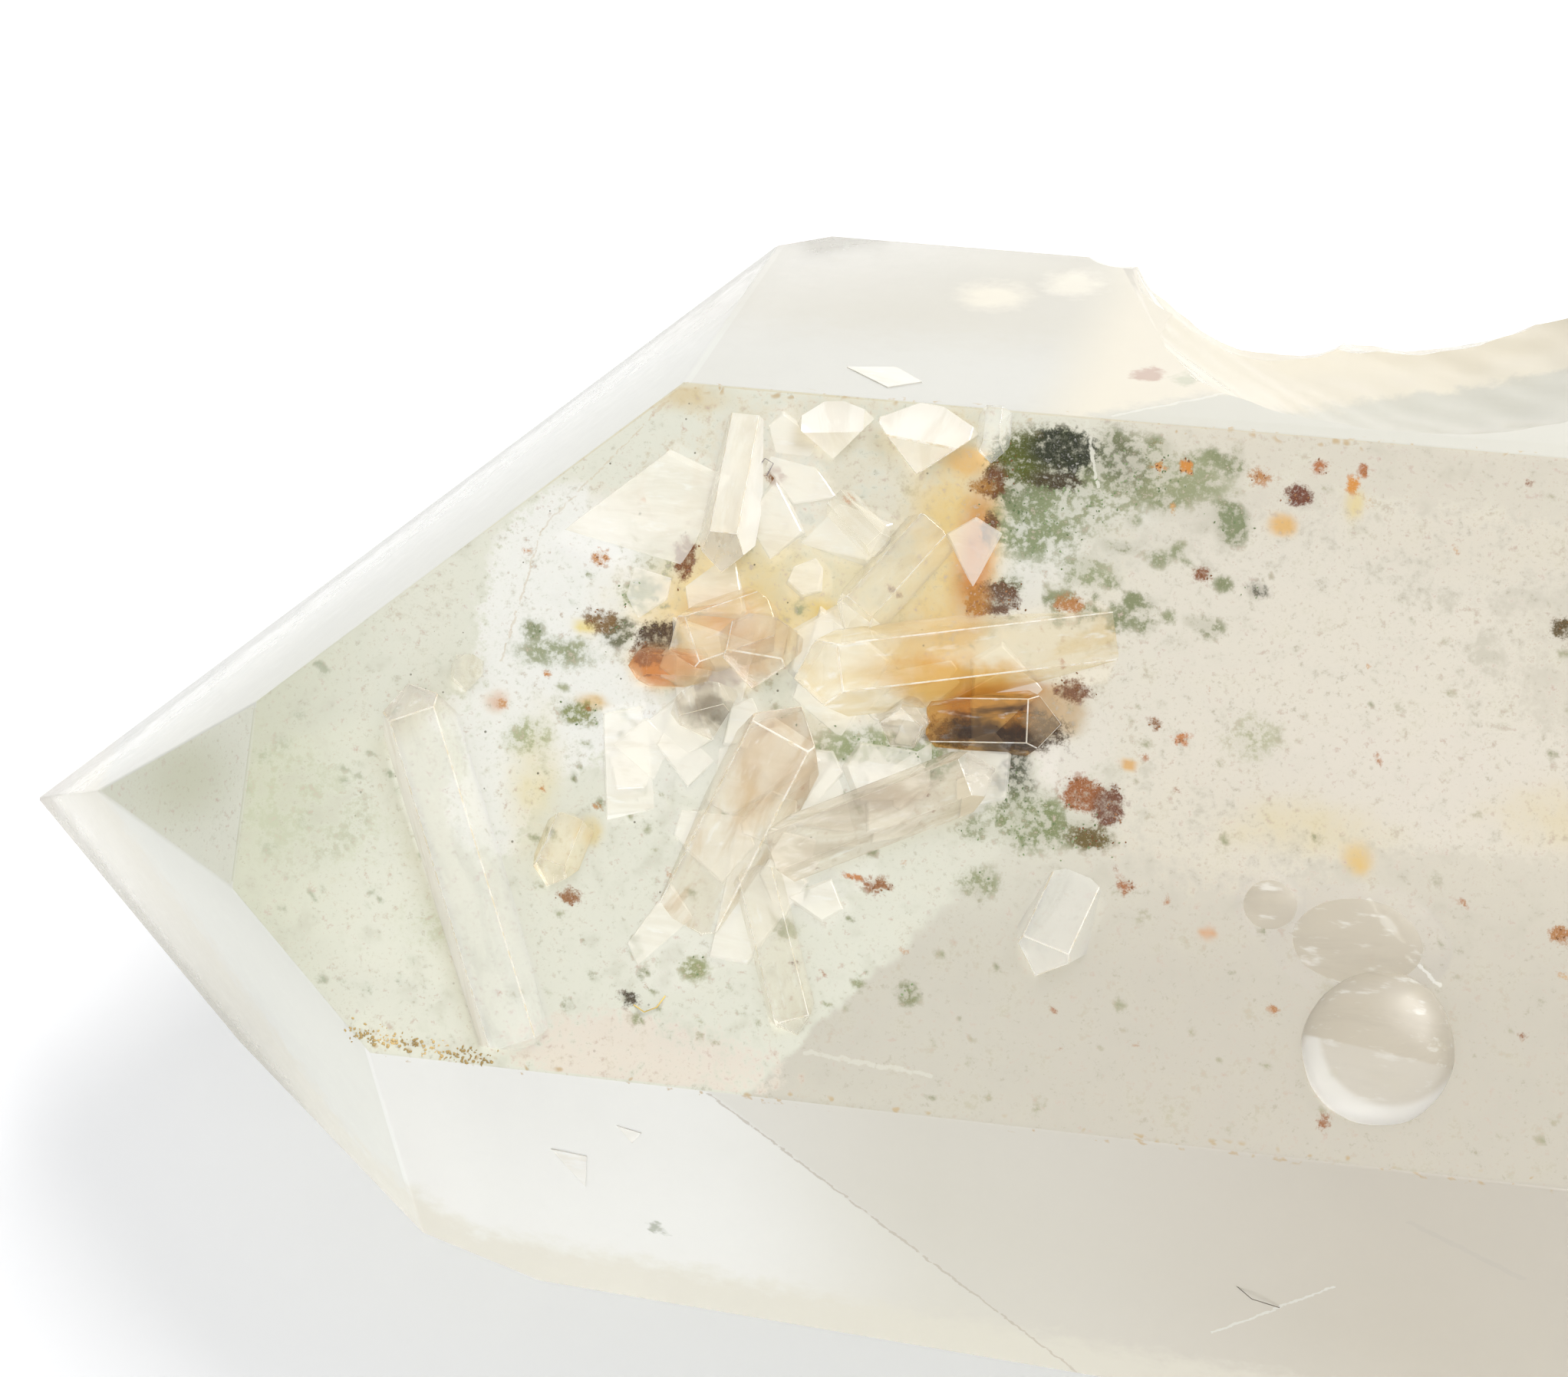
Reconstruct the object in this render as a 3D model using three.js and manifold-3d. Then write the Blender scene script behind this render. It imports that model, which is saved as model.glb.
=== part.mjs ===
// A stout quartz crystal with chlorite and iron stains, lying on one of its prism faces. It is one solid: a
// six-sided prism that ends in a point, chipped along one edge and broken off at the base, with small quartz
// crystals grown into its upper face.
//
// Millimetres and degrees. The long axis lies along X, with the point towards -X. Z is up. The origin is on the
// ground under the middle of the outline.
//
// A crystal face is given by three numbers. Azimuth is its turn about the long axis: 0 looks up and 90 looks
// along +Y. Lean is how far it tips towards the point. Distance is measured from the point, along its normal.
import * as THREE from 'three';
import { ConvexGeometry } from 'three/addons/geometries/ConvexGeometry.js';
import { mergeVertices } from 'three/addons/utils/BufferGeometryUtils.js';
import Module from 'manifold-3d';

const LENGTH = 75; // from the point to the broken base
const POINT_HEIGHT = 14.3; // the point above the ground, which is also how far the resting face lies from it
const FACE_ABOVE_POINT = 12.7; // the upper prism face, above the point
const POINT_ACROSS = -2.8; // the point's place across the outline
const END_LEAN = 38.21; // the end faces of quartz lie 51.79 degrees from the long axis, seen by their normals

const POINT = new THREE.Vector3(-LENGTH / 2, POINT_ACROSS, POINT_HEIGHT);

const PRISM_FACES = [
  { azimuth: 0, lean: 0, distance: FACE_ABOVE_POINT },
  { azimuth: 60, lean: 0, distance: 19.4 },
  { azimuth: 120, lean: 0, distance: 20.7 },
  { azimuth: 180, lean: 0, distance: POINT_HEIGHT },
  { azimuth: -120, lean: 4.9, distance: 10.8 }, // widens a little away from the point
  { azimuth: -60, lean: 0, distance: 13.3 },
];
const END_FACES = [
  { azimuth: 0, lean: END_LEAN, distance: 2.85 }, // the small triangular face that stops short of the point
  { azimuth: 60, lean: END_LEAN, distance: 0 },
  { azimuth: 120, lean: END_LEAN, distance: 0 },
  { azimuth: 180, lean: END_LEAN, distance: 1.2 },
  { azimuth: -120, lean: END_LEAN, distance: 0 },
  { azimuth: -60, lean: END_LEAN, distance: 0 },
  { azimuth: -115, lean: 26.9, distance: 2.45 }, // a steep little face at the lower corner
];
const BROKEN_BASE = { azimuth: 25, lean: -80, distance: 72.6 };

// Hollows that chips and the break left, each bitten out by an ellipsoid. Its centre and radii are along the
// axis, down the face at its azimuth, and out along that face's normal, all measured from the point.
const EDGE_CHIPS = [
  { azimuth: 90, centre: [42.6, -2, 27], radii: [5.4, 13, 7.4] },
  { azimuth: 90, centre: [37, -1, 26.4], radii: [3.4, 6, 4] },
  { azimuth: 90, centre: [46, -2, 27.9], radii: [9.5, 13, 7.6] },
  { azimuth: 60, centre: [47.8, 7, 24], radii: [10.5, 11.5, 8] },
];
const BASE_SCOOPS = [
  { azimuth: 0, centre: [82, 12, 8], radii: [14, 15, 13] },
  { azimuth: 0, centre: [80, -8, -6], radii: [11, 14, 15] },
  { azimuth: 0, centre: [79, 9, -16], radii: [9, 13, 9] },
  { azimuth: 0, centre: [78, -11, 11], radii: [8, 9, 7] },
];

// Small crystals on the upper face. The tip is along and across from the large crystal's point. Turn is the
// direction of the tip, counter-clockwise from +X seen from above. Rise tips it out of the face, and stand is the
// height of its axis over the face at the tip.
const SMALL_CRYSTALS = [
  { tip: [16.7, 4.2], turn: 114, length: 12.9, width: 2.6, depth: 1.8, rise: 1, stand: 0.35 },
  { tip: [26.8, 8.8], turn: -91, length: 5.6, width: 1.7, depth: 1.5, rise: 4, stand: 0.45 },
  { tip: [29.7, 5.5], turn: -166, length: 10.1, width: 2.9, depth: 2.3, rise: 5, stand: 1.1 },
  { tip: [31.0, 7.3], turn: -125, length: 4.6, width: 1.9, depth: 1.4, rise: -6, stand: 0.3 },
  { tip: [27.1, 3.3], turn: -70, length: 2.0, width: 2.3, depth: 1.4, rise: 8, stand: 0.4 },
  { tip: [28.2, 5.1], turn: -94, length: 2.6, width: 2.8, depth: 1.6, rise: 6, stand: 0.3 },
  { tip: [33.3, 4.9], turn: 90, length: 2.2, width: 1.9, depth: 1.9, rise: 80, stand: 1.1 },
  { tip: [30.0, 4.7], turn: 67, length: 7.8, width: 3.1, depth: 1.5, rise: 3, stand: 0.35 },
  { tip: [36.5, 3.3], turn: 30, length: 7.6, width: 2.1, depth: 1.6, rise: 2, stand: 0.3 },
  { tip: [38.5, -3.2], turn: -106, length: 3.4, width: 2.6, depth: 1.6, rise: 6, stand: 0.4 },
  { tip: [31.0, -5.9], turn: -69, length: 5.8, width: 1.6, depth: 0.8, rise: 0, stand: 0.05 },
  { tip: [35.2, 13.2], turn: -88, length: 2.0, width: 1.1, depth: 1.0, rise: 8, stand: 0.35 },
  { tip: [32.2, 12.7], turn: -100, length: 1.7, width: 3.4, depth: 1.3, rise: 12, stand: 0.35 },
  { tip: [29.2, 12.4], turn: -75, length: 1.6, width: 1.9, depth: 1.0, rise: 9, stand: 0.25 },
  { tip: [32.2, 9.9], turn: -41, length: 2.8, width: 1.2, depth: 1.0, rise: 4, stand: 0.2 },
  { tip: [18.7, 4.1], turn: -83, length: 1.3, width: 1.1, depth: 1.0, rise: 10, stand: 0.3 },
  { tip: [25.3, 6.1], turn: -155, length: 3.9, width: 2.4, depth: 1.4, rise: 5, stand: 0.3 },
  { tip: [24.0, 5.5], turn: -176, length: 2.9, width: 1.3, depth: 1.1, rise: 4, stand: 0.25 },
  { tip: [38.4, 5.0], turn: 4, length: 4.2, width: 2.1, depth: 1.3, rise: 3, stand: 0.2 },
  { tip: [22.2, -2.0], turn: -104, length: 2.6, width: 1.6, depth: 1.2, rise: 6, stand: 0.3 },
];
const END_STEP = 0.09; // alternate end faces of a small crystal stand back by this share of its width

// The smooth round bead of glassy quartz near the lower right of the upper face.
const BEAD = { centre: [49.6, -4.3], radius: 2.4, height: 1.3 };

const ROUND_SEGMENTS = 28;
const CLOSE = 1e-5; // corners nearer than this are the same corner

const wasm = await Module();
wasm.setup();

function normalOf({ azimuth, lean }) {
  const turn = THREE.MathUtils.degToRad(azimuth);
  const tip = THREE.MathUtils.degToRad(lean);
  return new THREE.Vector3(-Math.sin(tip), Math.cos(tip) * Math.sin(turn), Math.cos(tip) * Math.cos(turn));
}

function cornerOf(a, b, c) {
  const bc = new THREE.Vector3().crossVectors(b.normal, c.normal);
  const volume = a.normal.dot(bc);
  if (Math.abs(volume) < CLOSE) return null;
  const ca = new THREE.Vector3().crossVectors(c.normal, a.normal);
  const ab = new THREE.Vector3().crossVectors(a.normal, b.normal);
  return bc.multiplyScalar(a.distance)
    .addScaledVector(ca, b.distance)
    .addScaledVector(ab, c.distance)
    .divideScalar(volume);
}

// The convex body inside a set of flat faces: every corner where three of them meet and no other cuts it off.
function crystalFrom(faces) {
  const planes = faces.map((face) => ({ normal: normalOf(face), distance: face.distance }));
  const corners = [];
  for (let i = 0; i < planes.length; i++) {
    for (let j = i + 1; j < planes.length; j++) {
      for (let k = j + 1; k < planes.length; k++) {
        const corner = cornerOf(planes[i], planes[j], planes[k]);
        const kept = corner
          && planes.every((plane) => plane.normal.dot(corner) <= plane.distance + CLOSE)
          && corners.every((other) => other.distanceTo(corner) > CLOSE);
        if (kept) corners.push(corner);
      }
    }
  }
  return new ConvexGeometry(corners);
}

function solidFrom(geometry) {
  geometry.deleteAttribute('normal');
  geometry.deleteAttribute('uv');
  const merged = mergeVertices(geometry, CLOSE);
  return new wasm.Manifold(new wasm.Mesh({
    numProp: 3,
    vertProperties: new Float32Array(merged.attributes.position.array),
    triVerts: new Uint32Array(merged.index.array),
  }));
}

function ellipsoid({ azimuth, centre, radii }) {
  const geometry = new THREE.SphereGeometry(1, ROUND_SEGMENTS, ROUND_SEGMENTS / 2);
  geometry.scale(...radii);
  geometry.translate(...centre);
  geometry.rotateX(THREE.MathUtils.degToRad(-azimuth));
  return geometry;
}

// A small prism with a six-faced point at its own origin, pointing along +X.
function smallCrystal({ length, width, depth }) {
  const slopeDistance = (width / 2) * Math.cos(Math.PI / 6);
  const faces = [{ azimuth: 0, lean: 90, distance: length }];
  for (let side = 0; side < 6; side++) {
    const flat = side % 3 === 0;
    faces.push({ azimuth: side * 60, lean: 0, distance: flat ? depth / 2 : slopeDistance });
    faces.push({ azimuth: side * 60, lean: -END_LEAN, distance: (side % 2) * END_STEP * width });
  }
  return crystalFrom(faces);
}

function placedSmallCrystal(crystal) {
  const geometry = smallCrystal(crystal);
  geometry.rotateY(THREE.MathUtils.degToRad(-crystal.rise));
  geometry.rotateZ(THREE.MathUtils.degToRad(crystal.turn));
  geometry.translate(crystal.tip[0], crystal.tip[1], FACE_ABOVE_POINT + crystal.stand);
  return geometry;
}

function bead() {
  const { centre, radius, height } = BEAD;
  return ellipsoid({ azimuth: 0, centre: [...centre, FACE_ABOVE_POINT], radii: [radius, radius, height] });
}

function quartzCrystal() {
  let solid = solidFrom(crystalFrom([...PRISM_FACES, ...END_FACES, BROKEN_BASE]));
  for (const hollow of [...EDGE_CHIPS, ...BASE_SCOOPS]) {
    solid = solid.subtract(solidFrom(ellipsoid(hollow)));
  }
  for (const crystal of SMALL_CRYSTALS) {
    solid = solid.add(solidFrom(placedSmallCrystal(crystal)));
  }
  return solid.add(solidFrom(bead()));
}

function geometryOf(solid) {
  const mesh = solid.getMesh();
  const geometry = new THREE.BufferGeometry();
  geometry.setAttribute('position', new THREE.BufferAttribute(new Float32Array(mesh.vertProperties), 3));
  geometry.setIndex(new THREE.BufferAttribute(new Uint32Array(mesh.triVerts), 1));
  geometry.computeVertexNormals();
  return geometry;
}

const quartz = new THREE.MeshStandardMaterial({ color: 0xe9e6dc, roughness: 0.15, metalness: 0, flatShading: true });

const crystal = new THREE.Mesh(geometryOf(quartzCrystal()), quartz);
crystal.name = 'quartz_crystal';
crystal.position.copy(POINT);

const group = new THREE.Group();
group.add(crystal);
export default group;
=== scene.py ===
"""A chlorite quartz crystal lying on a prism face: a stout clear-to-milky prism with a six-faced point, small
crystals and beads grown on its upper face, and chlorite and iron stains inside.

Everything is modelled in millimetres from the crystal's point, with its long axis along X, and put in place
in metres at the end. A crystal face is azimuth (turn about the long axis, 0 looks up, 90 looks along +Y),
lean (how far it tips towards the point) and distance (from the point, along its normal)."""

import math
import random

import bmesh
import bpy
import numpy as np
from mathutils import Matrix, Vector, noise


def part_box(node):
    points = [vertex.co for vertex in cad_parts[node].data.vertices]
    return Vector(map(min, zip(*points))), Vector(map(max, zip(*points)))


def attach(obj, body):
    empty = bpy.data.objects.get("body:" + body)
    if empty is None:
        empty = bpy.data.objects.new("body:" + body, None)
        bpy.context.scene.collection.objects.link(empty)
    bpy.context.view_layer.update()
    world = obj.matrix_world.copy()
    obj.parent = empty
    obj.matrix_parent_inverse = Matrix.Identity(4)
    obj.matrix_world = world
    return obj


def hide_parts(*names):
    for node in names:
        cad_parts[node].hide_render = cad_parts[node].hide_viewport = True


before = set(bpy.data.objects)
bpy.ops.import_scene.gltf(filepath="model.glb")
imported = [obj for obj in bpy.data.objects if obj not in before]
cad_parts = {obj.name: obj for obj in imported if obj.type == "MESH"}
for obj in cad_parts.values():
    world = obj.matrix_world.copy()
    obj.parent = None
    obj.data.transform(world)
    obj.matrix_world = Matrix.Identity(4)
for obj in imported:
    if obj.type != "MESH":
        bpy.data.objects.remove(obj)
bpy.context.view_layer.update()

bl_info = {
    "name": "Chlorite quartz crystal",
    "version": (1, 0, 0),
    "blender": (4, 5, 0),
    "location": "3D View > Sidebar > Quartz",
    "description": "Builds a chlorite quartz crystal with small crystals grown on it",
    "category": "Add Mesh",
}

NODE = "quartz_crystal"
MM = 0.001
ORIGIN = (0, 0, 0)

# Shape
FACE_ABOVE_POINT = 12.7
POINT_HEIGHT = 14.3
POINT_ACROSS = -2.8
POINT = Vector((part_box(NODE)[0][0] / MM, POINT_ACROSS, POINT_HEIGHT))
END_LEAN = 38.21

PRISM_FACES = [
    (0, 0, FACE_ABOVE_POINT),
    (60, 0, 19.4),
    (120, 0, 20.7),
    (180, 0, POINT_HEIGHT),
    (-120, 4.9, 10.8),
    (-60, 0, 13.3),
]
END_FACES = [
    (0, END_LEAN, 2.85),
    (60, END_LEAN, 0),
    (120, END_LEAN, 0),
    (180, END_LEAN, 1.2),
    (-120, END_LEAN, 0),
    (-60, END_LEAN, 0),
    (-115, 26.9, 2.45),
]
BROKEN_BASE = (25, -80, 72.6)

# The stretch of the upper face that carries stains, from the point, and how fine its grid is
STAINED_STRETCH = ((8, -9), (59, 16))
STAIN_STEP = 0.2

# Hollows: azimuth, centre (along, down the face, out), radii, the place where the blow fell on a unit ball
EDGE_CHIPS = [
    (90, (42.0, -2, 26.8), (5.8, 13, 7.2), (-0.6, -0.5, -0.6)),
    (90, (37, -1, 26.5), (3.4, 6, 4), (-0.3, -0.6, -0.7)),
    (90, (46, -2, 27.9), (9.5, 13, 7.6), (-0.7, -0.5, -0.4)),
    (60, (47.8, 7, 24), (10.5, 11.5, 8), (-0.5, -0.7, -0.5)),
]
BASE_SCOOPS = [
    (0, (82, 12, 8), (14, 15, 13), (-0.5, 0.2, 0.9)),
    (0, (80, -8, -6), (11, 14, 15), (-0.6, -0.8, 0.2)),
    (0, (79, 9, -16), (9, 13, 9), (-0.4, 0.6, -0.6)),
    (0, (78, -11, 11), (8, 9, 7), (-0.5, -0.6, 0.7)),
]

# Small crystals: name, finish, tip along and across, turn of the tip, length, width, depth, rise, and how
# high the axis stands over the face at the tip
SMALL_CRYSTALS = [
    ("long_crystal_left", "white_quartz", 16.7, 4.2, 114, 12.9, 2.6, 1.8, 2.5, 0.3),
    ("upright_crystal_top", "plate_quartz", 26.8, 8.8, -91, 5.6, 1.9, 1.7, 13, 0.55),
    ("long_crystal_right", "yellow_quartz", 29.7, 5.5, -166, 10.9, 2.9, 2.3, 12.5, 1.15),
    ("leaning_crystal", "pale_quartz", 31.0, 7.3, -125, 4.8, 1.9, 1.4, 4, 0.3),
    ("stained_crystal", "smoky_quartz", 27.1, 3.3, -70, 2.0, 2.3, 1.4, 8, 0.4),
    ("beige_crystal", "beige_quartz", 28.2, 5.1, -94, 2.6, 2.8, 1.6, 6, 0.3),
    ("upended_crystal", "smoky_quartz", 33.3, 4.9, 90, 2.2, 1.9, 1.9, 80, 1.1),
    ("broad_crystal", "beige_quartz", 30.0, 4.7, 67, 8.4, 3.1, 1.7, 10.5, 0.7),
    ("lower_crystal", "smoky_quartz", 36.5, 3.3, 27, 8.0, 2.1, 1.5, 0.5, 0.5),
    ("pointing_crystal", "white_quartz", 38.5, -3.2, -106, 3.8, 2.4, 1.4, 17, 0.4),
    ("flat_crystal", "pale_quartz", 31.0, -5.9, -69, 5.8, 1.6, 0.8, 0, 0.05),
    ("edge_crystal_a", "white_quartz", 35.2, 13.2, -88, 2.0, 1.1, 1.0, 8, 0.35),
    ("edge_crystal_b", "plate_quartz", 32.8, 12.6, -96, 2.5, 3.9, 1.4, 15, 0.35),
    ("edge_crystal_c", "plate_quartz", 30.0, 12.9, -84, 2.0, 2.7, 1.1, 15, 0.3),
    ("leaf_crystal", "pale_quartz", 32.2, 9.9, -41, 2.8, 1.2, 1.0, 4, 0.2),
    ("tiny_crystal", "pale_quartz", 18.7, 4.1, -83, 1.3, 1.1, 1.0, 10, 0.3),
    ("amber_crystal_a", "yellow_quartz", 25.3, 6.1, -155, 3.9, 2.4, 1.4, 5, 0.3),
    ("amber_crystal_b", "yellow_quartz", 24.0, 5.5, -176, 2.9, 1.3, 1.1, 4, 0.25),
    ("amber_block", "amber_quartz", 38.4, 5.0, 4, 4.6, 2.3, 1.5, 7, 0.0),
    ("yellow_crystal", "yellow_quartz", 22.2, -2.0, -104, 2.6, 1.6, 1.2, 6, 0.3),
]
# Tones of the small crystals: light, veiled, how much passes straight through, how strong the veils are
CRYSTAL_TONES = {
    "white_quartz": ((250, 250, 247), (228, 230, 226), 0.82, 0.75),
    # Tones for sides with painted light and points with painted shade
    "lit_quartz": ((253, 252, 248), (240, 236, 228), 0.55, 0.8),
    "shaded_quartz": ((226, 222, 212), (204, 196, 182), 0.7, 0.8),
    "pale_quartz": ((244, 240, 228), (222, 216, 199), 0.84, 0.7),
    "yellow_quartz": ((244, 235, 212), (232, 212, 168), 0.8, 0.9),
    "amber_quartz": ((208, 146, 58), (74, 50, 26), 0.74, 1.0),
    "plate_quartz": ((252, 249, 240), (238, 233, 220), 0.66, 0.6),
    "beige_quartz": ((244, 238, 224), (216, 194, 166), 0.82, 0.85),
    "smoky_quartz": ((234, 227, 212), (194, 181, 162), 0.8, 0.85),
    "bead_quartz": ((216, 209, 195), (202, 195, 182), 0.76, 0.6),
}
# Sides of small crystals painted white, a painted highlight: the turn of the side about its crystal's own
# axis
LIT_SIDES = {
    "upright_crystal_top": (60,),
    "edge_crystal_b": (0, -60),
    "edge_crystal_c": (0,),
    "long_crystal_left": (60,),
}
# Small crystals whose points get painted shade, darker than the rest of them
SHADED_POINTS = ("long_crystal_left", "upright_crystal_top", "lower_crystal")
# Stains inside the small crystals, by finish: centre, reach, edge, strength, colour
CRYSTAL_STAINS = {
    "yellow_quartz": [
        ((35.0, 5.9, 13.4), (2.7, 0.8, 2), 0.5, 0.95, (222, 166, 66)),
        ((35.9, 5.6, 13.4), (0.8, 0.5, 2), 0.8, 0.9, (196, 118, 24)),
        ((25.0, 5.6, 13), (1.5, 0.6, 2), 0.6, 0.8, (214, 138, 56)),
    ],
    "beige_quartz": [
        ((29.6, 2.8, 13), (0.9, 1.5, 2), 0.8, 0.6, (214, 190, 156)),
        ((28.6, 1.4, 13), (0.5, 0.9, 2), 0.8, 0.6, (214, 176, 122)),
        ((28.2, 6.2, 13), (0.9, 0.9, 2), 0.7, 0.6, (214, 184, 158)),
    ],
    "smoky_quartz": [
        ((27.0, 4.2, 13), (0.9, 0.35, 2), 0.6, 0.8, (98, 84, 66)),
        ((33.2, 2.0, 13), (1.6, 0.4, 2), 0.7, 0.7, (176, 158, 138)),
    ],
    "amber_quartz": [
        ((36.4, 4.3, 12.7), (2.0, 0.6, 2), 0.5, 0.95, (52, 36, 24)),
        ((37.9, 5.2, 12.7), (0.6, 0.9, 2), 0.5, 0.8, (196, 176, 144)),
    ],
}
# Places of the finishes on a small crystal: frosted edges whose white is partly a painted highlight, sides
# with painted light, points with painted shade
FROSTED_HIGHLIT, PAINTED_LIT, PAINTED_SHADE = 1, 2, 3
END_STEP = 0.16  # alternate end faces of a small crystal stand back by this share of its width
# The broken base of a small crystal: azimuth, lean, share of the length
SMALL_BASES = [(90, 66, 0.9), (-90, 56, 0.84), (0, 74, 0.95)]
# Beads: name, centre, radii
BEADS = [
    ("round_bead", (49.6, -4.3, FACE_ABOVE_POINT), (2.42, 2.42, 1.0)),
    ("bead_behind", (48.6, -1.0, FACE_ABOVE_POINT - 0.35), (2.9, 1.9, 0.5)),
    ("faint_bead", (45.7, -0.1, FACE_ABOVE_POINT - 0.2), (1.15, 1.05, 0.3)),
]
# Low plates: the stretch along the crystal that holds them, and the middle and spread of their places
PLATE_STRETCH = (24, 37)
PLATE_MIDDLE = (28.0, 5.0)
PLATE_SPREAD = (5.5, 5.2)
# How dark a stain that holds grains is, by the sum of its red, green and blue
GRAINY_TONES = (150, 430)
WHOLE_TURN = 6.28  # in radians, near enough for a crumb's random turn
FEWEST_FACES = 1000  # a large crystal with fewer has lost most of itself to a cut
FACING = 0.99  # how closely a face that looks the same way agrees
ROUND_ANGLE = 60.0  # what the smooth round pieces may bend by, in degrees
EDGE_ACROSS = 14.6  # where the upper face ends, which grains and plates stay inside of

# Camera, in metres and degrees
CAMERA_PLACE = Vector((22.29, -14.32, 185.71)) * MM
CAMERA_RIGHT = Vector((0.9774, 0.1168, -0.1760))
CAMERA_UP = Vector((-0.0958, 0.9878, 0.1230))
CAMERA_BACK = Vector((0.1882, -0.1033, 0.9767))
SENSOR_WIDTH = 36.0
CAMERA_LENS = 6500 / 2044 * SENSOR_WIDTH


class QuartzSizes(bpy.types.PropertyGroup):
    """Sizes and counts of the fine forms, which a user may change."""

    edge_width: bpy.props.FloatProperty(
        name="Edge width", description="Width of the worn edges of the large crystal",
        default=0.09 * MM, min=0, unit="LENGTH",
    )
    small_edge_width: bpy.props.FloatProperty(
        name="Small edge width", description="Width of the edges of the small crystals",
        default=0.04 * MM, min=0, unit="LENGTH",
    )
    ripple_depth: bpy.props.FloatProperty(
        name="Ripple depth", description="Depth of the ripples on broken surfaces",
        default=0.07 * MM, min=0, unit="LENGTH",
    )
    ripple_spacing: bpy.props.FloatProperty(
        name="Ripple spacing", description="Distance between ripples on broken surfaces",
        default=1.3 * MM, min=0.1 * MM, unit="LENGTH",
    )
    plate_count: bpy.props.IntProperty(
        name="Plates", description="Number of low crystal plates round the cluster", default=38, min=0,
    )
    grain_count: bpy.props.IntProperty(
        name="Grains", description="Number of grains of each kind in the stains", default=420, min=1,
    )


class QuartzColours(bpy.types.PropertyGroup):
    """Colours of the quartz and of what is in it."""

    quartz: bpy.props.FloatVectorProperty(
        name="Quartz", description="Colour that tints all the quartz",
        default=(1.0, 1.0, 1.0), subtype="COLOR", size=3, min=0, max=1,
    )
    chlorite: bpy.props.FloatVectorProperty(
        name="Chlorite", description="Green of the chlorite grains",
        default=(0.11, 0.15, 0.07), subtype="COLOR", size=3, min=0, max=1,
    )
    iron: bpy.props.FloatVectorProperty(
        name="Iron stain", description="Red-brown of the iron grains",
        default=(0.15, 0.07, 0.03), subtype="COLOR", size=3, min=0, max=1,
    )


# Mesh tools

SAME_PLACE = 1e-4  # corners nearer than this are one
FLAT_ANGLE = math.radians(8)  # an edge flatter than this isn't rounded
LARGEST_CURVED = 2 * MM * MM  # faces above this area are flat crystal faces
TO_THE_GROUND = Matrix.Translation(POINT * MM) @ Matrix.Scale(MM, 4)


def face_normal(azimuth, lean):
    """The way a flat crystal face looks."""
    turn, tip = math.radians(azimuth), math.radians(lean)
    return Vector((-math.sin(tip), math.cos(tip) * math.sin(turn), math.cos(tip) * math.cos(turn)))


def cut_off(bm, normal, place):
    """Takes away what lies beyond a flat face, and closes the cut."""
    parts = bm.verts[:] + bm.edges[:] + bm.faces[:]
    cut = bmesh.ops.bisect_plane(
        bm, geom=parts, dist=SAME_PLACE, plane_co=place, plane_no=normal, clear_outer=True
    )
    rim = [part for part in cut["geom_cut"] if isinstance(part, bmesh.types.BMEdge)]
    if rim:
        bmesh.ops.edgeloop_fill(bm, edges=rim)


def crystal_within(faces, reach):
    """A closed crystal: a cube cut by each flat face."""
    bm = bmesh.new()
    bmesh.ops.create_cube(bm, size=2 * reach)
    for azimuth, lean, distance in faces:
        normal = face_normal(azimuth, lean)
        cut_off(bm, normal, normal * distance)
    bmesh.ops.remove_doubles(bm, verts=bm.verts, dist=SAME_PLACE)
    bmesh.ops.recalc_face_normals(bm, faces=bm.faces)
    return bm


def soften_edges(bm, width, segments=2, finish_index=0):
    """Rounds every real edge a little, and can give the rounding a finish of its own."""
    sharp = []
    for edge in bm.edges:
        bent = len(edge.link_faces) == 2 and edge.calc_face_angle(0) > FLAT_ANGLE
        if bent and edge.calc_length() > 3 * width:
            sharp.append(edge)
    made = bmesh.ops.bevel(
        bm, geom=sharp, offset=width, offset_type="OFFSET", segments=segments, profile=0.5, affect="EDGES",
        material=-1, clamp_overlap=True,
    )
    for face in made["faces"]:
        face.material_index = finish_index


def mesh_object(name, bm, place=TO_THE_GROUND):
    """A new object in the scene, moved from millimetres at the point to metres on the ground."""
    bmesh.ops.transform(bm, matrix=place, verts=bm.verts)
    mesh = bpy.data.meshes.new(name)
    bm.to_mesh(mesh)
    bm.free()
    made = bpy.data.objects.new(name, mesh)
    bpy.context.scene.collection.objects.link(made)
    return made


def keep_own_place(piece, place, seed):
    """Writes each point's place in the piece's own frame, in millimetres, which its streaks follow."""
    back = place.inverted()
    own = []
    for vert in piece.data.vertices:
        own.extend(back @ (vert.co / MM - POINT) + Vector((seed * 17.0, 0, 0)))
    layer = piece.data.attributes.new("own_place", "FLOAT_VECTOR", "POINT")
    layer.data.foreach_set("vector", own)


def finish_piece(piece, *materials, sharp_angle=12.0):
    """Gives a piece its finishes and lets it ride with the crystal."""
    for material in materials:
        piece.data.materials.append(material)
    curved = [polygon.area < LARGEST_CURVED for polygon in piece.data.polygons]
    piece.data.polygons.foreach_set("use_smooth", curved)
    piece.data.set_sharp_from_angle(angle=math.radians(sharp_angle))
    piece.data.update()
    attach(piece, "root")


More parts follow.
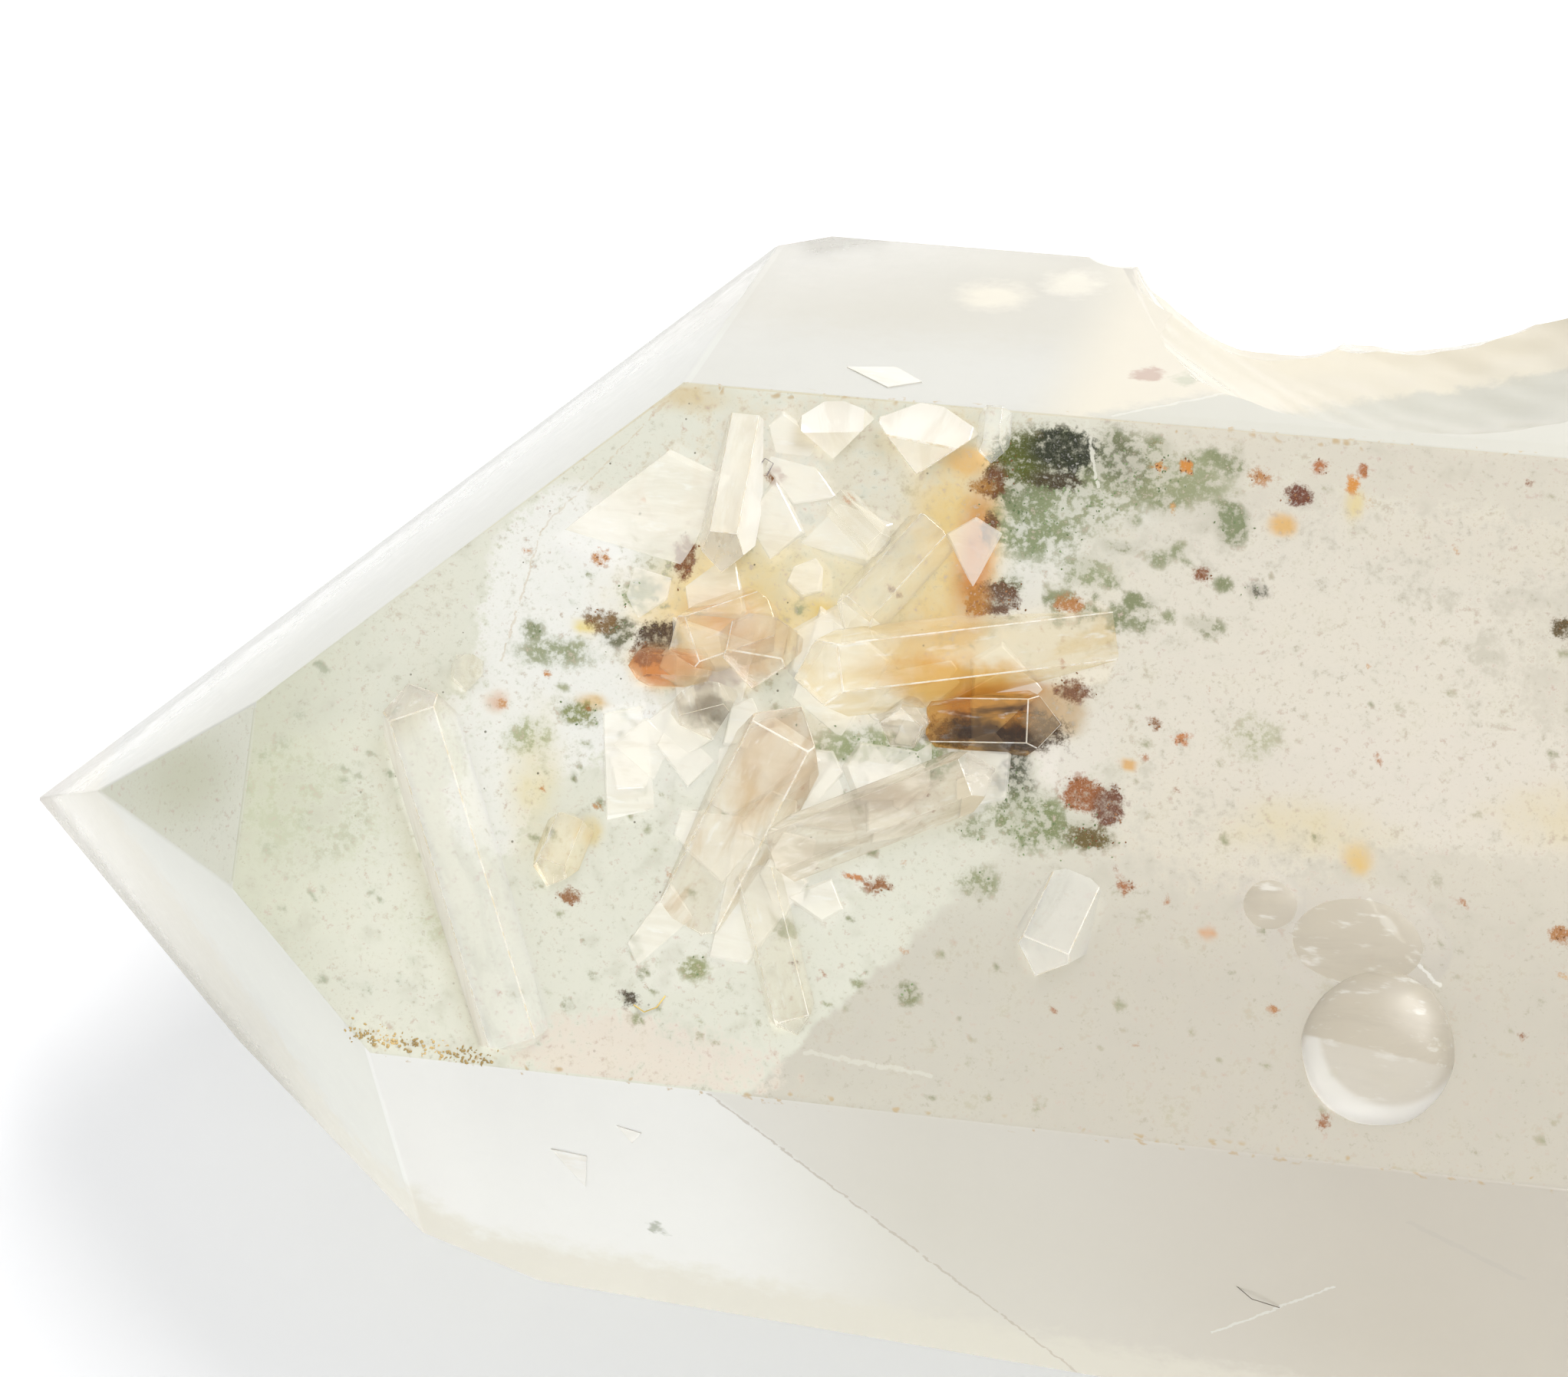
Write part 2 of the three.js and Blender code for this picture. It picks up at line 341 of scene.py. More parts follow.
def rippled(bm, radii, strike, sizes, seed):
    """Gives a ball the ripples and waves of broken glass, spreading from where the blow fell."""
    depth, spacing = sizes.ripple_depth / MM, sizes.ripple_spacing / MM
    strike = Vector(strike).normalized()
    blow = Vector((strike[i] * radii[i] for i in range(3)))
    shift = Vector((seed * 7.3, seed * 3.1, seed * 5.7))
    mean = sum(radii) / 3
    for vert in bm.verts:
        place = Vector((vert.co[i] * radii[i] for i in range(3)))
        spread = (place - blow).length + 1.2 * noise.noise(place * 0.25 + shift)
        fading = 0.4 + 0.6 * abs(noise.noise(place * 0.4 + shift))
        wave = math.sin(2 * math.pi * spread / spacing) * fading
        coarse = noise.noise(place * 0.55 + shift) * 0.18 + noise.noise(place * 1.7 + shift) * 0.02
        vert.co *= 1 + (wave * depth + coarse) / mean


def hollow(seed, sizes, azimuth, centre, radii, strike):
    """The ball that bites out one hollow."""
    bm = bmesh.new()
    bmesh.ops.create_icosphere(bm, subdivisions=6, radius=1)
    rippled(bm, radii, strike, sizes, seed)
    bmesh.ops.scale(bm, vec=radii, verts=bm.verts)
    bmesh.ops.translate(bm, vec=centre, verts=bm.verts)
    turn = Matrix.Rotation(math.radians(-azimuth), 3, "X")
    bmesh.ops.rotate(bm, cent=ORIGIN, matrix=turn, verts=bm.verts)
    return mesh_object(f"hollow_{seed}", bm, Matrix())


def broken_end(sizes):
    """The block that breaks off the base, with a rippled face."""
    azimuth, lean, distance = BROKEN_BASE
    normal = face_normal(azimuth, lean)
    bm = bmesh.new()
    bmesh.ops.create_grid(bm, x_segments=150, y_segments=150, size=30)
    depth, spacing = sizes.ripple_depth / MM, sizes.ripple_spacing / MM
    for vert in bm.verts:
        place = vert.co.copy()
        spread = (place - Vector((9, 14, 0))).length + 2.2 * noise.noise(place * 0.18)
        wave = math.sin(2 * math.pi * spread / (1.6 * spacing)) * depth * 1.6
        broad = abs(noise.noise(place * 0.16 + Vector((4, 4, 4))))
        steps = broad * 1.6 + abs(noise.noise(place * 0.5)) * 0.5
        vert.co.z = -steps - depth * 2 + wave
    shell = bmesh.ops.extrude_face_region(bm, geom=bm.faces[:])
    upper = [part for part in shell["geom"] if isinstance(part, bmesh.types.BMVert)]
    bmesh.ops.translate(bm, vec=(0, 0, 40), verts=upper)
    bmesh.ops.recalc_face_normals(bm, faces=bm.faces)
    turn = Vector((0, 0, 1)).rotation_difference(normal).to_matrix()
    bmesh.ops.rotate(bm, cent=ORIGIN, matrix=turn, verts=bm.verts)
    bmesh.ops.translate(bm, vec=normal * distance, verts=bm.verts)
    return mesh_object("broken_end", bm, Matrix())


def carve(piece, cutter):
    """Takes a cutter's shape out of a piece and deletes the cutter."""
    cut = piece.modifiers.new("cut", "BOOLEAN")
    cut.operation, cut.solver, cut.object = "DIFFERENCE", "EXACT", cutter
    with bpy.context.temp_override(object=piece, active_object=piece, selected_objects=[piece]):
        bpy.ops.object.modifier_apply(modifier=cut.name)
    bpy.data.objects.remove(cutter, do_unlink=True)


# Material tools

FLOAT, VECTOR = "NodeSocketFloat", "NodeSocketVector"
FACE_SKIN = 0.16  # how far under a flat face its own tone reaches
RUST_REACH = 0.26  # how far from a long edge its rust reaches


def tint(colour):
    """A linear colour with full alpha, from one in the usual 0 to 255."""
    shares = [value / 255 for value in colour]
    return (*(share / 12.92 if share <= 0.04 else ((share + 0.055) / 1.055) ** 2.4 for share in shares), 1.0)


def empty_material(name):
    material = bpy.data.materials.new(name)
    material.use_nodes = True
    material.node_tree.nodes.clear()
    return material


class Nodes:
    """Adds nodes to one shader tree. An input is a socket to link from or a plain value."""

    def __init__(self, tree):
        self.tree = tree

    def give(self, socket, value):
        """Links or sets a socket. A colour of three numbers is in the usual 0 to 255, of four is linear."""
        if isinstance(value, bpy.types.NodeSocket):
            self.tree.links.new(value, socket)
        elif socket.type == "RGBA" and len(value) == 3:
            socket.default_value = tint(value)
        else:
            socket.default_value = value

    def add(self, kind, inputs=(), **settings):
        """A new node with its settings, and its inputs by name or place."""
        made = self.tree.nodes.new("ShaderNode" + kind)
        for name, value in settings.items():
            setattr(made, name, value)
        for name, value in dict(inputs).items():
            self.give(made.inputs[name], value)
        return made

    def effect(self, name, **inputs):
        """Places a shared effect and gives its result."""
        return self.add("Group", inputs, node_tree=effects[name]).outputs[0]

    def maths(self, operation, *values, clamp=False):
        return self.add("Math", enumerate(values), operation=operation, use_clamp=clamp).outputs[0]

    def chain(self, operation, *values):
        """One result from several values, taken in turn."""
        result = values[0]
        for value in values[1:]:
            result = self.maths(operation, result, value)
        return result

    def times(self, *masks):
        return self.chain("MULTIPLY", *masks)

    def vector(self, operation, *values):
        output = "Value" if operation in ("DOT_PRODUCT", "LENGTH") else "Vector"
        return self.add("VectorMath", enumerate(values), operation=operation).outputs[output]

    def stretch(self, vector, amount):
        return self.add("VectorMath", {0: vector, "Scale": amount}, operation="SCALE").outputs[0]

    def part(self, vector, axis):
        return self.add("SeparateXYZ", {"Vector": vector}).outputs[axis]

    def ramp(self, value, start, end, low=0.0, high=1.0):
        """A smooth step from low at the start to high at the end."""
        inputs = {"Value": value, "From Min": start, "From Max": end, "To Min": low, "To Max": high}
        return self.add("MapRange", inputs, interpolation_type="SMOOTHSTEP").outputs["Result"]

    def noise(self, place, scale, detail, roughness, distortion=0.0):
        inputs = {"Scale": scale, "Detail": detail, "Roughness": roughness, "Distortion": distortion}
        return self.add("TexNoise", {"Vector": place, **inputs}).outputs

    def lay(self, below, mask, colour, blend="MIX"):
        """Lays a colour over another where the mask is white."""
        first, second = 6, 7  # the places of the two colours among the inputs
        inputs = {0: mask, first: below, second: colour}
        return self.add("Mix", inputs, data_type="RGBA", blend_type=blend).outputs[2]


effects = {}


def start_effect(name, output, kind, **inputs):
    """An empty node group: its nodes, the sockets of its inputs, and the socket for its result."""
    group = bpy.data.node_groups.new(name, "ShaderNodeTree")
    for label, default in inputs.items():
        input_kind = VECTOR if isinstance(default, tuple) else FLOAT
        socket = group.interface.new_socket(label, in_out="INPUT", socket_type=input_kind)
        socket.default_value = default
    group.interface.new_socket(output, in_out="OUTPUT", socket_type=kind)
    effects[name] = group
    given, result = group.nodes.new("NodeGroupInput"), group.nodes.new("NodeGroupOutput")
    return Nodes(group), given.outputs, result.inputs[0]


def make_effects():
    """The effects that more than one finish uses."""
    # Moves a position about with noise, so that a patch gets a ragged outline
    nodes, given, result = start_effect("wander", "Position", VECTOR, Position=ORIGIN, Scale=1.0, Amount=0.5)
    cloud = nodes.noise(given["Position"], given["Scale"], 3.0, 0.62)["Color"]
    shift = nodes.stretch(nodes.vector("SUBTRACT", cloud, (0.5, 0.5, 0.5)), given["Amount"])
    nodes.give(result, nodes.vector("ADD", given["Position"], shift))

    # A soft oval patch. Shrink is one over its reach, and Shift is less its centre over its reach
    nodes, given, result = start_effect(
        "soft patch", "Mask", FLOAT, Position=ORIGIN, Shrink=(1, 1, 1), Shift=ORIGIN, Core=0.5, Strength=1.0
    )
    local = nodes.vector("MULTIPLY_ADD", given["Position"], given["Shrink"], given["Shift"])
    nodes.give(result, nodes.ramp(nodes.vector("LENGTH", local), given["Core"], 1.0, given["Strength"], 0.0))

    # Everything beyond a flat boundary
    nodes, given, result = start_effect(
        "beyond plane", "Mask", FLOAT, Position=ORIGIN, Direction=(0, 0, 1), Distance=0.0, Edge=0.1
    )
    reach = nodes.vector("DOT_PRODUCT", given["Position"], given["Direction"])
    past = nodes.maths("SUBTRACT", reach, given["Distance"])
    nodes.give(result, nodes.ramp(past, nodes.times(given["Edge"], -1.0), given["Edge"]))

    # Small dots, in a share of the cells
    nodes, given, result = start_effect(
        "specks", "Mask", FLOAT, Position=ORIGIN, Scale=1.0, Size=0.2, Share=0.5, Edge=0.5
    )
    inputs = {"Vector": given["Position"], "Scale": given["Scale"], "Randomness": 1.0}
    cells = nodes.add("TexVoronoi", inputs).outputs
    chosen = nodes.add("SeparateColor", {"Color": cells["Color"]}).outputs
    own_size = nodes.times(given["Size"], nodes.maths("ADD", 0.35, chosen["Green"]))
    soft = nodes.times(own_size, nodes.maths("SUBTRACT", 1.0, given["Edge"]))
    dot = nodes.ramp(cells["Distance"], soft, own_size, 1.0, 0.0)
    nodes.give(result, nodes.times(dot, nodes.maths("LESS_THAN", chosen["Red"], given["Share"])))

    # A thin line between two places
    nodes, given, result = start_effect(
        "fine line", "Mask", FLOAT, Position=ORIGIN, Start=ORIGIN, End=(1, 0, 0), Width=0.05
    )
    reach = nodes.vector("SUBTRACT", given["End"], given["Start"])
    off = nodes.vector("SUBTRACT", given["Position"], given["Start"])
    ahead, whole = nodes.vector("DOT_PRODUCT", off, reach), nodes.vector("DOT_PRODUCT", reach, reach)
    nearest = nodes.stretch(reach, nodes.maths("DIVIDE", ahead, whole, clamp=True))
    gap = nodes.vector("LENGTH", nodes.vector("SUBTRACT", off, nearest))
    nodes.give(result, nodes.ramp(gap, given["Width"], nodes.times(given["Width"], 2.0), 1.0, 0.0))

    # Fine surface relief: etch grain, and growth lines across the long axis
    nodes, given, result = start_effect(
        "growth relief", "Height", FLOAT, Position=ORIGIN, Lines=1.0, Grain=1.0
    )
    stretched = nodes.add("Mapping", {"Vector": given["Position"], "Scale": (2.6, 0.12, 0.12)}).outputs[0]
    lines = nodes.times(nodes.noise(stretched, 1.0, 2.0, 0.7)["Fac"], given["Lines"])
    grain = nodes.times(nodes.noise(given["Position"], 5.0, 2.0, 0.6)["Fac"], given["Grain"])
    nodes.give(result, nodes.maths("ADD", lines, grain))


class Paint(Nodes):
    """A quartz finish in the making: the place in millimetres from the point, and the colour laid so far."""

    def __init__(self, name, colour):
        self.material = empty_material(name)
        super().__init__(self.material.node_tree)
        spot = self.add("TexCoord").outputs["Object"]
        inputs = {"Vector": spot, "Location": -POINT, "Scale": (1 / MM, 1 / MM, 1 / MM)}
        self.place = self.add("Mapping", inputs).outputs["Vector"]
        self.colour = colour

    def over(self, mask, colour):
        """Lays a colour over what is there, where the mask is white."""
        self.colour = self.lay(self.colour, mask, colour)

    def wander(self, scale, amount):
        """The place, moved about by noise."""
        return self.effect("wander", Position=self.place, Scale=scale, Amount=amount)

    def specks(self, place, scale, size, share, edge):
        return self.effect("specks", Position=place, Scale=scale, Size=size, Share=share, Edge=edge)

    def beyond(self, place, direction, distance, edge):
        return self.effect("beyond plane", Position=place, Direction=direction, Distance=distance, Edge=edge)

    def beyond_any(self, place, boundaries):
        return self.chain("MAXIMUM", *(self.beyond(place, *boundary) for boundary in boundaries))

    def on_face(self, face):
        """White on one flat face and black elsewhere."""
        azimuth, lean, distance = face
        return self.beyond(self.place, face_normal(azimuth, lean), distance - FACE_SKIN, 0.02)

    def soft_patch(self, place, centre, reach, edge, strength=1.0):
        """An oval mask that falls off from (1 - edge) to (1 + edge) of its reach."""
        shrink = [1 / (size * (1 + edge)) for size in reach]
        shift = [-middle * share for middle, share in zip(centre, shrink)]
        core = (1 - edge) / (1 + edge)
        oval = {"Shrink": shrink, "Shift": shift, "Core": core}
        return self.effect("soft patch", Position=place, Strength=strength, **oval)

    def patches(self, place, rows):
        """Lays a list of patches."""
        for centre, reach, edge, strength, colour in rows:
            self.over(self.soft_patch(place, centre, reach, edge, strength), colour)

    def lines(self, place, rows):
        """Lays a list of thin lines."""
        for start, end, width, strength, colour in rows:
            mask = self.effect("fine line", Position=place, Start=start, End=end, Width=width)
            self.over(self.times(mask, strength), colour)

    def stain(self, name, grain, raggedness, softness, strength, mottle):
        """Lays one kind of stain. The grain frays its outline and, by the mottle's share, its inside."""
        layer = self.add("Attribute", attribute_name=name).outputs
        frayed = self.maths("MULTIPLY_ADD", self.maths("SUBTRACT", grain, 0.5), raggedness, layer["Alpha"])
        mask = self.ramp(frayed, 0.5 - softness, 0.5 + softness, 0.0, strength)
        self.over(self.times(mask, self.ramp(grain, 0.36, 0.6, 1.0 - mottle, 1.0)), layer["Color"])

    def rusty_edges(self, torn):
        """Lays a dotted rusty line along the two long edges of the upper face."""
        rust = self.specks(torn, 2.6, 0.36, 0.5, 0.7)
        for side in (PRISM_FACES[1], PRISM_FACES[5]):
            near = []
            for azimuth, lean, distance in (PRISM_FACES[0], side):
                near.append(self.beyond(self.place, face_normal(azimuth, lean), distance - RUST_REACH, 0.1))
            self.over(self.times(*near, rust, 0.75), (206, 176, 128))

    def body_tone(self):
        """Lays the quartz's own tone: cooler near the point, warmer towards the base, clouded and grainy."""
        along = self.part(self.place, "X")
        fine = self.noise(self.place, 0.9, 3.5, 0.68)["Fac"]
        self.over(self.ramp(along, 11.5, 17), (238, 238, 226))
        self.over(self.ramp(along, 32, 44), (230, 223, 210))
        self.over(self.ramp(fine, 0.52, 0.75, 0.0, 0.5), (246, 243, 235))
        self.over(self.ramp(fine, 0.48, 0.28, 0.0, 0.4), (206, 203, 186))
        return along, fine

    def quartz(self, roughness, lines, grain, transmission, shine, haze, density, lamp_light):
        """The finished material. Lamps shine through it, as they do through the real thing."""
        tinted = self.lay(self.colour, 1.0, (*bpy.context.scene.quartz_colours.quartz, 1.0), "MULTIPLY")
        relief = self.effect("growth relief", Position=self.place, Lines=lines, Grain=grain)
        bump = self.add("Bump", {"Height": relief, "Strength": 0.35, "Distance": 0.08 * MM}).outputs["Normal"]
        inputs = {"Base Color": tinted, "Roughness": roughness, "Normal": bump, "IOR": QUARTZ_IOR}
        inputs.update({"Specular IOR Level": shine, "Transmission Weight": transmission})
        shader = self.add("BsdfPrincipled", inputs).outputs["BSDF"]
        passing = self.add("BsdfTransparent", {"Color": lamp_light}).outputs["BSDF"]
        is_shadow = self.add("LightPath").outputs["Is Shadow Ray"]
        mixed = self.add("MixShader", {0: is_shadow, 1: shader, 2: passing}).outputs["Shader"]
        absorbed = self.add("VolumeAbsorption", {"Color": haze, "Density": density}).outputs["Volume"]
        self.add("OutputMaterial", {"Surface": mixed, "Volume": absorbed})
        return self.material


# Finishes

QUARTZ_IOR = 1.544
BODY_TONE = (221, 222, 204)
# How clear the quartz is: its haze, how dense that is, and how much of a lamp's light passes each face
LARGE_GLASS = {"haze": (0.93, 0.93, 0.86, 1), "density": 9.0, "lamp_light": (0.28, 0.285, 0.29, 1)}
SMALL_GLASS = {"haze": (0.95, 0.93, 0.88, 1), "density": 8.0, "lamp_light": (0.86, 0.86, 0.85, 1)}
EDGE_GLASS = {**SMALL_GLASS, "lamp_light": (0.8, 0.8, 0.78, 1)}
LARGE_TRANSMISSION = 0.5
EDGE_TRANSMISSION = 0.55

STAIN_DEPTH = 0.15  # how far from the upper face its stains reach
# Veils and stains just under the upper face, by kind. Each is: place along and across, reach along and
# across, softness of its edge, strength, colour
VEILS = [
    (31.0, 10.8, 6.6, 6.0, 0.5, 0.62, (240, 233, 216)),
    (26.0, -7.2, 4.6, 1.5, 0.5, 0.8, (243, 231, 220)),
    (22.2, 6.4, 3.4, 4.4, 0.4, 1.0, (255, 255, 253)),
    (21.3, 8.8, 2.0, 2.2, 0.4, 0.8, (255, 255, 253)),
    (20.0, 0.9, 1.5, 2.2, 0.4, 0.9, (254, 254, 251)),
    (19.2, 3.4, 1.8, 1.0, 0.5, 0.8, (254, 254, 251)),
    (36.9, 10.4, 1.7, 2.1, 0.5, 0.95, (252, 251, 247)),
    (33.0, 3.6, 2.8, 1.1, 0.5, 0.9, (252, 250, 245)),
    (38.6, 4.0, 1.2, 1.6, 0.6, 0.7, (244, 238, 230)),
    (38.6, 12.2, 1.6, 0.8, 0.6, 0.8, (248, 246, 240)),
    (39.5, 7.5, 3.4, 2.6, 0.6, 0.62, (238, 232, 220)),
    (46.0, 8.0, 7.5, 4.6, 0.7, 0.8, (242, 235, 223)),
    (51.0, 4.2, 8.0, 2.0, 0.6, 0.8, (242, 234, 224)),
    (44.0, 2.0, 4.6, 2.2, 0.7, 0.58, (236, 228, 214)),
    (52.0, 12.0, 5.0, 1.2, 0.7, 0.6, (238, 229, 214)),
]
AMBER_STAINS = [
    (29.0, 8.4, 4.2, 2.0, 0.6, 0.8, (247, 232, 190)),
    (26.6, 7.4, 2.6, 1.6, 0.9, 1.0, (248, 214, 140)),
    (26.9, 7.3, 1.0, 0.7, 0.95, 1.0, (236, 158, 56)),
    (30.2, 7.8, 0.6, 0.5, 0.7, 0.9, (244, 208, 104)),
    (25.2, 5.6, 1.1, 0.7, 0.5, 0.95, (226, 158, 62)),
    (26.9, 6.0, 1.1, 0.5, 0.5, 0.9, (238, 176, 84)),
    (29.3, 3.1, 1.5, 1.4, 0.7, 0.6, (232, 206, 178)),
    (34.2, 10.6, 1.3, 3.0, 0.95, 0.95, (247, 214, 142)),
    (35.0, 10.0, 0.6, 2.2, 0.8, 1.0, (206, 122, 24)),
    (34.4, 13.3, 0.8, 0.5, 0.5, 0.95, (240, 184, 92)),
    (34.0, 7.2, 1.6, 1.2, 0.9, 0.9, (244, 204, 130)),
    (36.5, 5.4, 2.1, 0.9, 0.25, 1.0, (200, 134, 36)),
    (38.3, 5.4, 0.9, 0.9, 0.4, 0.8, (206, 182, 146)),
    (44.8, 12.1, 0.45, 0.35, 0.6, 0.9, (240, 190, 116)),
    (47.0, 13.0, 0.3, 0.5, 0.7, 0.8, (242, 220, 160)),
    (48.3, 1.6, 0.42, 0.45, 0.8, 0.9, (242, 198, 108)),
    (22.4, 6.7, 0.45, 0.25, 0.7, 0.9, (248, 222, 120)),
    (22.9, 4.2, 0.55, 0.25, 0.6, 0.8, (232, 188, 108)),
    (19.7, 3.9, 0.4, 0.35, 0.7, 0.8, (228, 182, 150)),
    (40.7, 3.9, 0.3, 0.16, 0.5, 0.9, (232, 174, 92)),
    (43.8, -1.2, 0.3, 0.2, 0.5, 0.8, (228, 170, 124)),
    (23.3, 0.0, 0.5, 0.5, 0.6, 0.7, (236, 210, 140)),
    (21.2, 1.4, 0.8, 2.0, 0.8, 0.6, (240, 224, 172)),
    (46.5, 2.4, 2.4, 0.8, 0.8, 0.56, (238, 222, 178)),
    (55.0, 3.6, 2.6, 1.0, 0.8, 0.56, (238, 222, 184)),
    (24.7, 14.6, 1.6, 0.5, 0.7, 0.7, (226, 204, 160)),
]
CHLORITE_STAINS = [
    (24.1, 7.9, 0.7, 0.5, 0.6, 0.9, (146, 156, 114)),
    (24.5, 9.1, 0.9, 0.7, 0.6, 0.75, (164, 170, 134)),
    (23.5, 6.6, 0.6, 0.5, 0.5, 0.95, (98, 97, 67)),
    (21.4, 5.7, 1.3, 0.45, 0.6, 0.75, (152, 160, 123)),
    (20.6, 6.4, 0.4, 0.3, 0.6, 0.8, (140, 147, 111)),
    (22.6, 3.8, 0.7, 0.4, 0.5, 0.95, (132, 139, 77)),
    (20.9, 2.9, 0.8, 0.6, 0.6, 0.7, (172, 180, 134)),
    (40.4, 13.3, 1.6, 1.0, 0.7, 0.8, (146, 152, 111)),
    (39.3, 13.7, 0.9, 0.9, 0.8, 1.0, (92, 97, 62)),
    (37.0, 13.3, 1.9, 1.2, 0.5, 1.0, (96, 105, 62)),
    (36.1, 12.4, 0.6, 0.5, 0.5, 0.95, (92, 95, 62)),
    (37.0, 11.5, 1.5, 1.3, 0.6, 0.8, (134, 147, 104)),
    (38.6, 12.2, 1.2, 0.9, 0.6, 0.7, (150, 158, 118)),
    (38.9, 10.0, 0.8, 0.5, 0.6, 0.75, (158, 166, 127)),
    (43.1, 12.1, 0.55, 0.5, 0.6, 0.9, (132, 143, 104)),
    (42.0, 13.2, 1.0, 0.7, 0.8, 0.6, (160, 166, 128)),
    (37.1, 3.1, 0.6, 0.9, 0.5, 1.0, (60, 65, 40)),
    (37.7, 1.8, 1.3, 0.9, 0.6, 0.9, (124, 137, 86)),
    (35.9, 1.3, 0.5, 0.4, 0.6, 0.8, (130, 141, 92)),
    (32.6, 3.6, 2.4, 0.6, 0.7, 0.72, (150, 162, 114)),
    (34.2, 3.2, 0.8, 0.5, 0.6, 0.8, (134, 147, 99)),
    (39.6, 1.5, 0.8, 0.5, 0.5, 0.9, (122, 117, 77)),
    (34.4, -4.2, 0.4, 0.4, 0.6, 0.8, (132, 137, 95)),
    (36.3, -0.4, 0.7, 0.5, 0.6, 0.8, (148, 154, 114)),
    (44.2, 9.9, 0.35, 0.3, 0.5, 0.95, (66, 67, 49)),
    (27.3, -4.1, 0.5, 0.4, 0.6, 0.85, (150, 156, 106)),
    (30.2, -2.6, 0.4, 0.35, 0.6, 0.7, (156, 160, 114)),
    (44.5, 5.2, 0.8, 0.7, 0.8, 0.6, (170, 176, 134)),
    (12.2, 0.3, 2.2, 1.8, 0.9, 0.7, (204, 208, 182)),
    (14.6, -0.8, 2.4, 1.4, 0.9, 0.5, (216, 220, 197)),
    (18.4, -3.6, 1.0, 0.8, 0.9, 0.55, (212, 216, 192)),
]
IRON_STAINS = [
    (36.1, 13.5, 0.95, 0.7, 0.5, 1.0, (84, 90, 20)),
    (37.4, 13.9, 1.15, 0.7, 0.45, 1.0, (26, 30, 16)),
    (37.3, 12.9, 0.9, 0.3, 0.5, 0.95, (58, 40, 18)),
    (24.95, 6.5, 0.85, 0.62, 0.35, 1.0, (68, 36, 12)),
    (24.6, 5.9, 0.6, 0.36, 0.5, 0.95, (142, 78, 22)),
    (26.8, 5.5, 1.1, 0.4, 0.35, 1.0, (122, 64, 14)),
    (26.2, 5.15, 0.6, 0.26, 0.4, 1.0, (80, 40, 12)),
    (25.4, 9.3, 0.35, 0.8, 0.5, 0.95, (124, 67, 24)),
    (22.9, 6.9, 0.6, 0.35, 0.5, 0.9, (130, 96, 55)),
    (28.1, 12.2, 0.35, 0.24, 0.4, 0.85, (157, 110, 72)),
    (35.3, 12.7, 0.4, 0.6, 0.4, 1.0, (103, 50, 11)),
    (34.9, 12.5, 0.45, 0.25, 0.5, 0.9, (177, 119, 46)),
    (35.35, 11.1, 0.3, 0.55, 0.45, 0.95, (107, 63, 29)),
    (35.9, 8.9, 0.7, 0.55, 0.4, 0.95, (101, 63, 41)),
    (35.2, 8.7, 0.4, 0.6, 0.5, 0.95, (190, 124, 50)),
    (35.6, 4.4, 1.7, 0.5, 0.4, 1.0, (87, 63, 40)),
    (37.3, 4.7, 1.3, 0.6, 0.4, 1.0, (64, 40, 13)),
    (36.2, 5.4, 0.8, 0.35, 0.5, 0.7, (136, 81, 20)),
    (38.6, 6.1, 0.6, 0.35, 0.5, 0.95, (122, 73, 48)),
    (39.3, 2.8, 0.65, 0.55, 0.4, 1.0, (158, 86, 34)),
    (40.2, 2.5, 0.5, 0.65, 0.4, 1.0, (111, 56, 33)),
    (39.7, 1.4, 0.6, 0.3, 0.5, 0.9, (107, 88, 46)),
    (45.2, 13.1, 0.44, 0.34, 0.5, 1.0, (107, 40, 7)),
    (45.8, 14.1, 0.24, 0.2, 0.4, 0.95, (183, 103, 47)),
    (47.2, 14.1, 0.2, 0.16, 0.4, 0.95, (181, 106, 55)),
    (46.9, 13.6, 0.24, 0.24, 0.4, 0.95, (225, 147, 58)),
    (43.9, 13.6, 0.36, 0.26, 0.7, 0.7, (192, 129, 70)),
    (41.5, 13.7, 0.24, 0.2, 0.4, 0.95, (221, 141, 54)),
    (40.6, 13.6, 0.2, 0.2, 0.5, 0.8, (222, 144, 59)),
    (42.4, 10.3, 0.26, 0.26, 0.5, 0.95, (142, 83, 50)),
    (38.2, 8.9, 0.5, 0.3, 0.5, 0.9, (186, 123, 69)),
    (42.3, 4.9, 0.28, 0.18, 0.5, 0.95, (202, 124, 68)),
    (41.4, 5.3, 0.2, 0.16, 0.5, 0.85, (146, 100, 69)),
    (41.0, 0.0, 0.32, 0.22, 0.5, 0.95, (173, 101, 55)),
    (48.1, -6.8, 0.22, 0.22, 0.5, 0.95, (165, 104, 66)),
    (46.2, -3.4, 0.18, 0.16, 0.5, 0.95, (190, 131, 82)),
    (54.9, -0.1, 0.35, 0.3, 0.5, 0.95, (183, 121, 68)),
    (54.0, 9.6, 0.4, 0.35, 0.5, 0.9, (91, 71, 32)),
    (33.0, -0.8, 0.45, 0.24, 0.5, 0.9, (157, 97, 54)),
    (32.2, -0.6, 0.26, 0.14, 0.5, 0.9, (206, 129, 68)),
    (22.9, -2.2, 0.36, 0.26, 0.5, 0.95, (155, 100, 59)),
    (25.3, -5.3, 0.3, 0.26, 0.4, 1.0, (62, 46, 29)),
    (22.6, 9.0, 0.3, 0.25, 0.6, 0.8, (202, 136, 73)),
    (19.9, 3.9, 0.2, 0.18, 0.8, 0.7, (208, 146, 85)),
]
BLACK_PATCH = (37.4, 13.8)  # where no grains are added
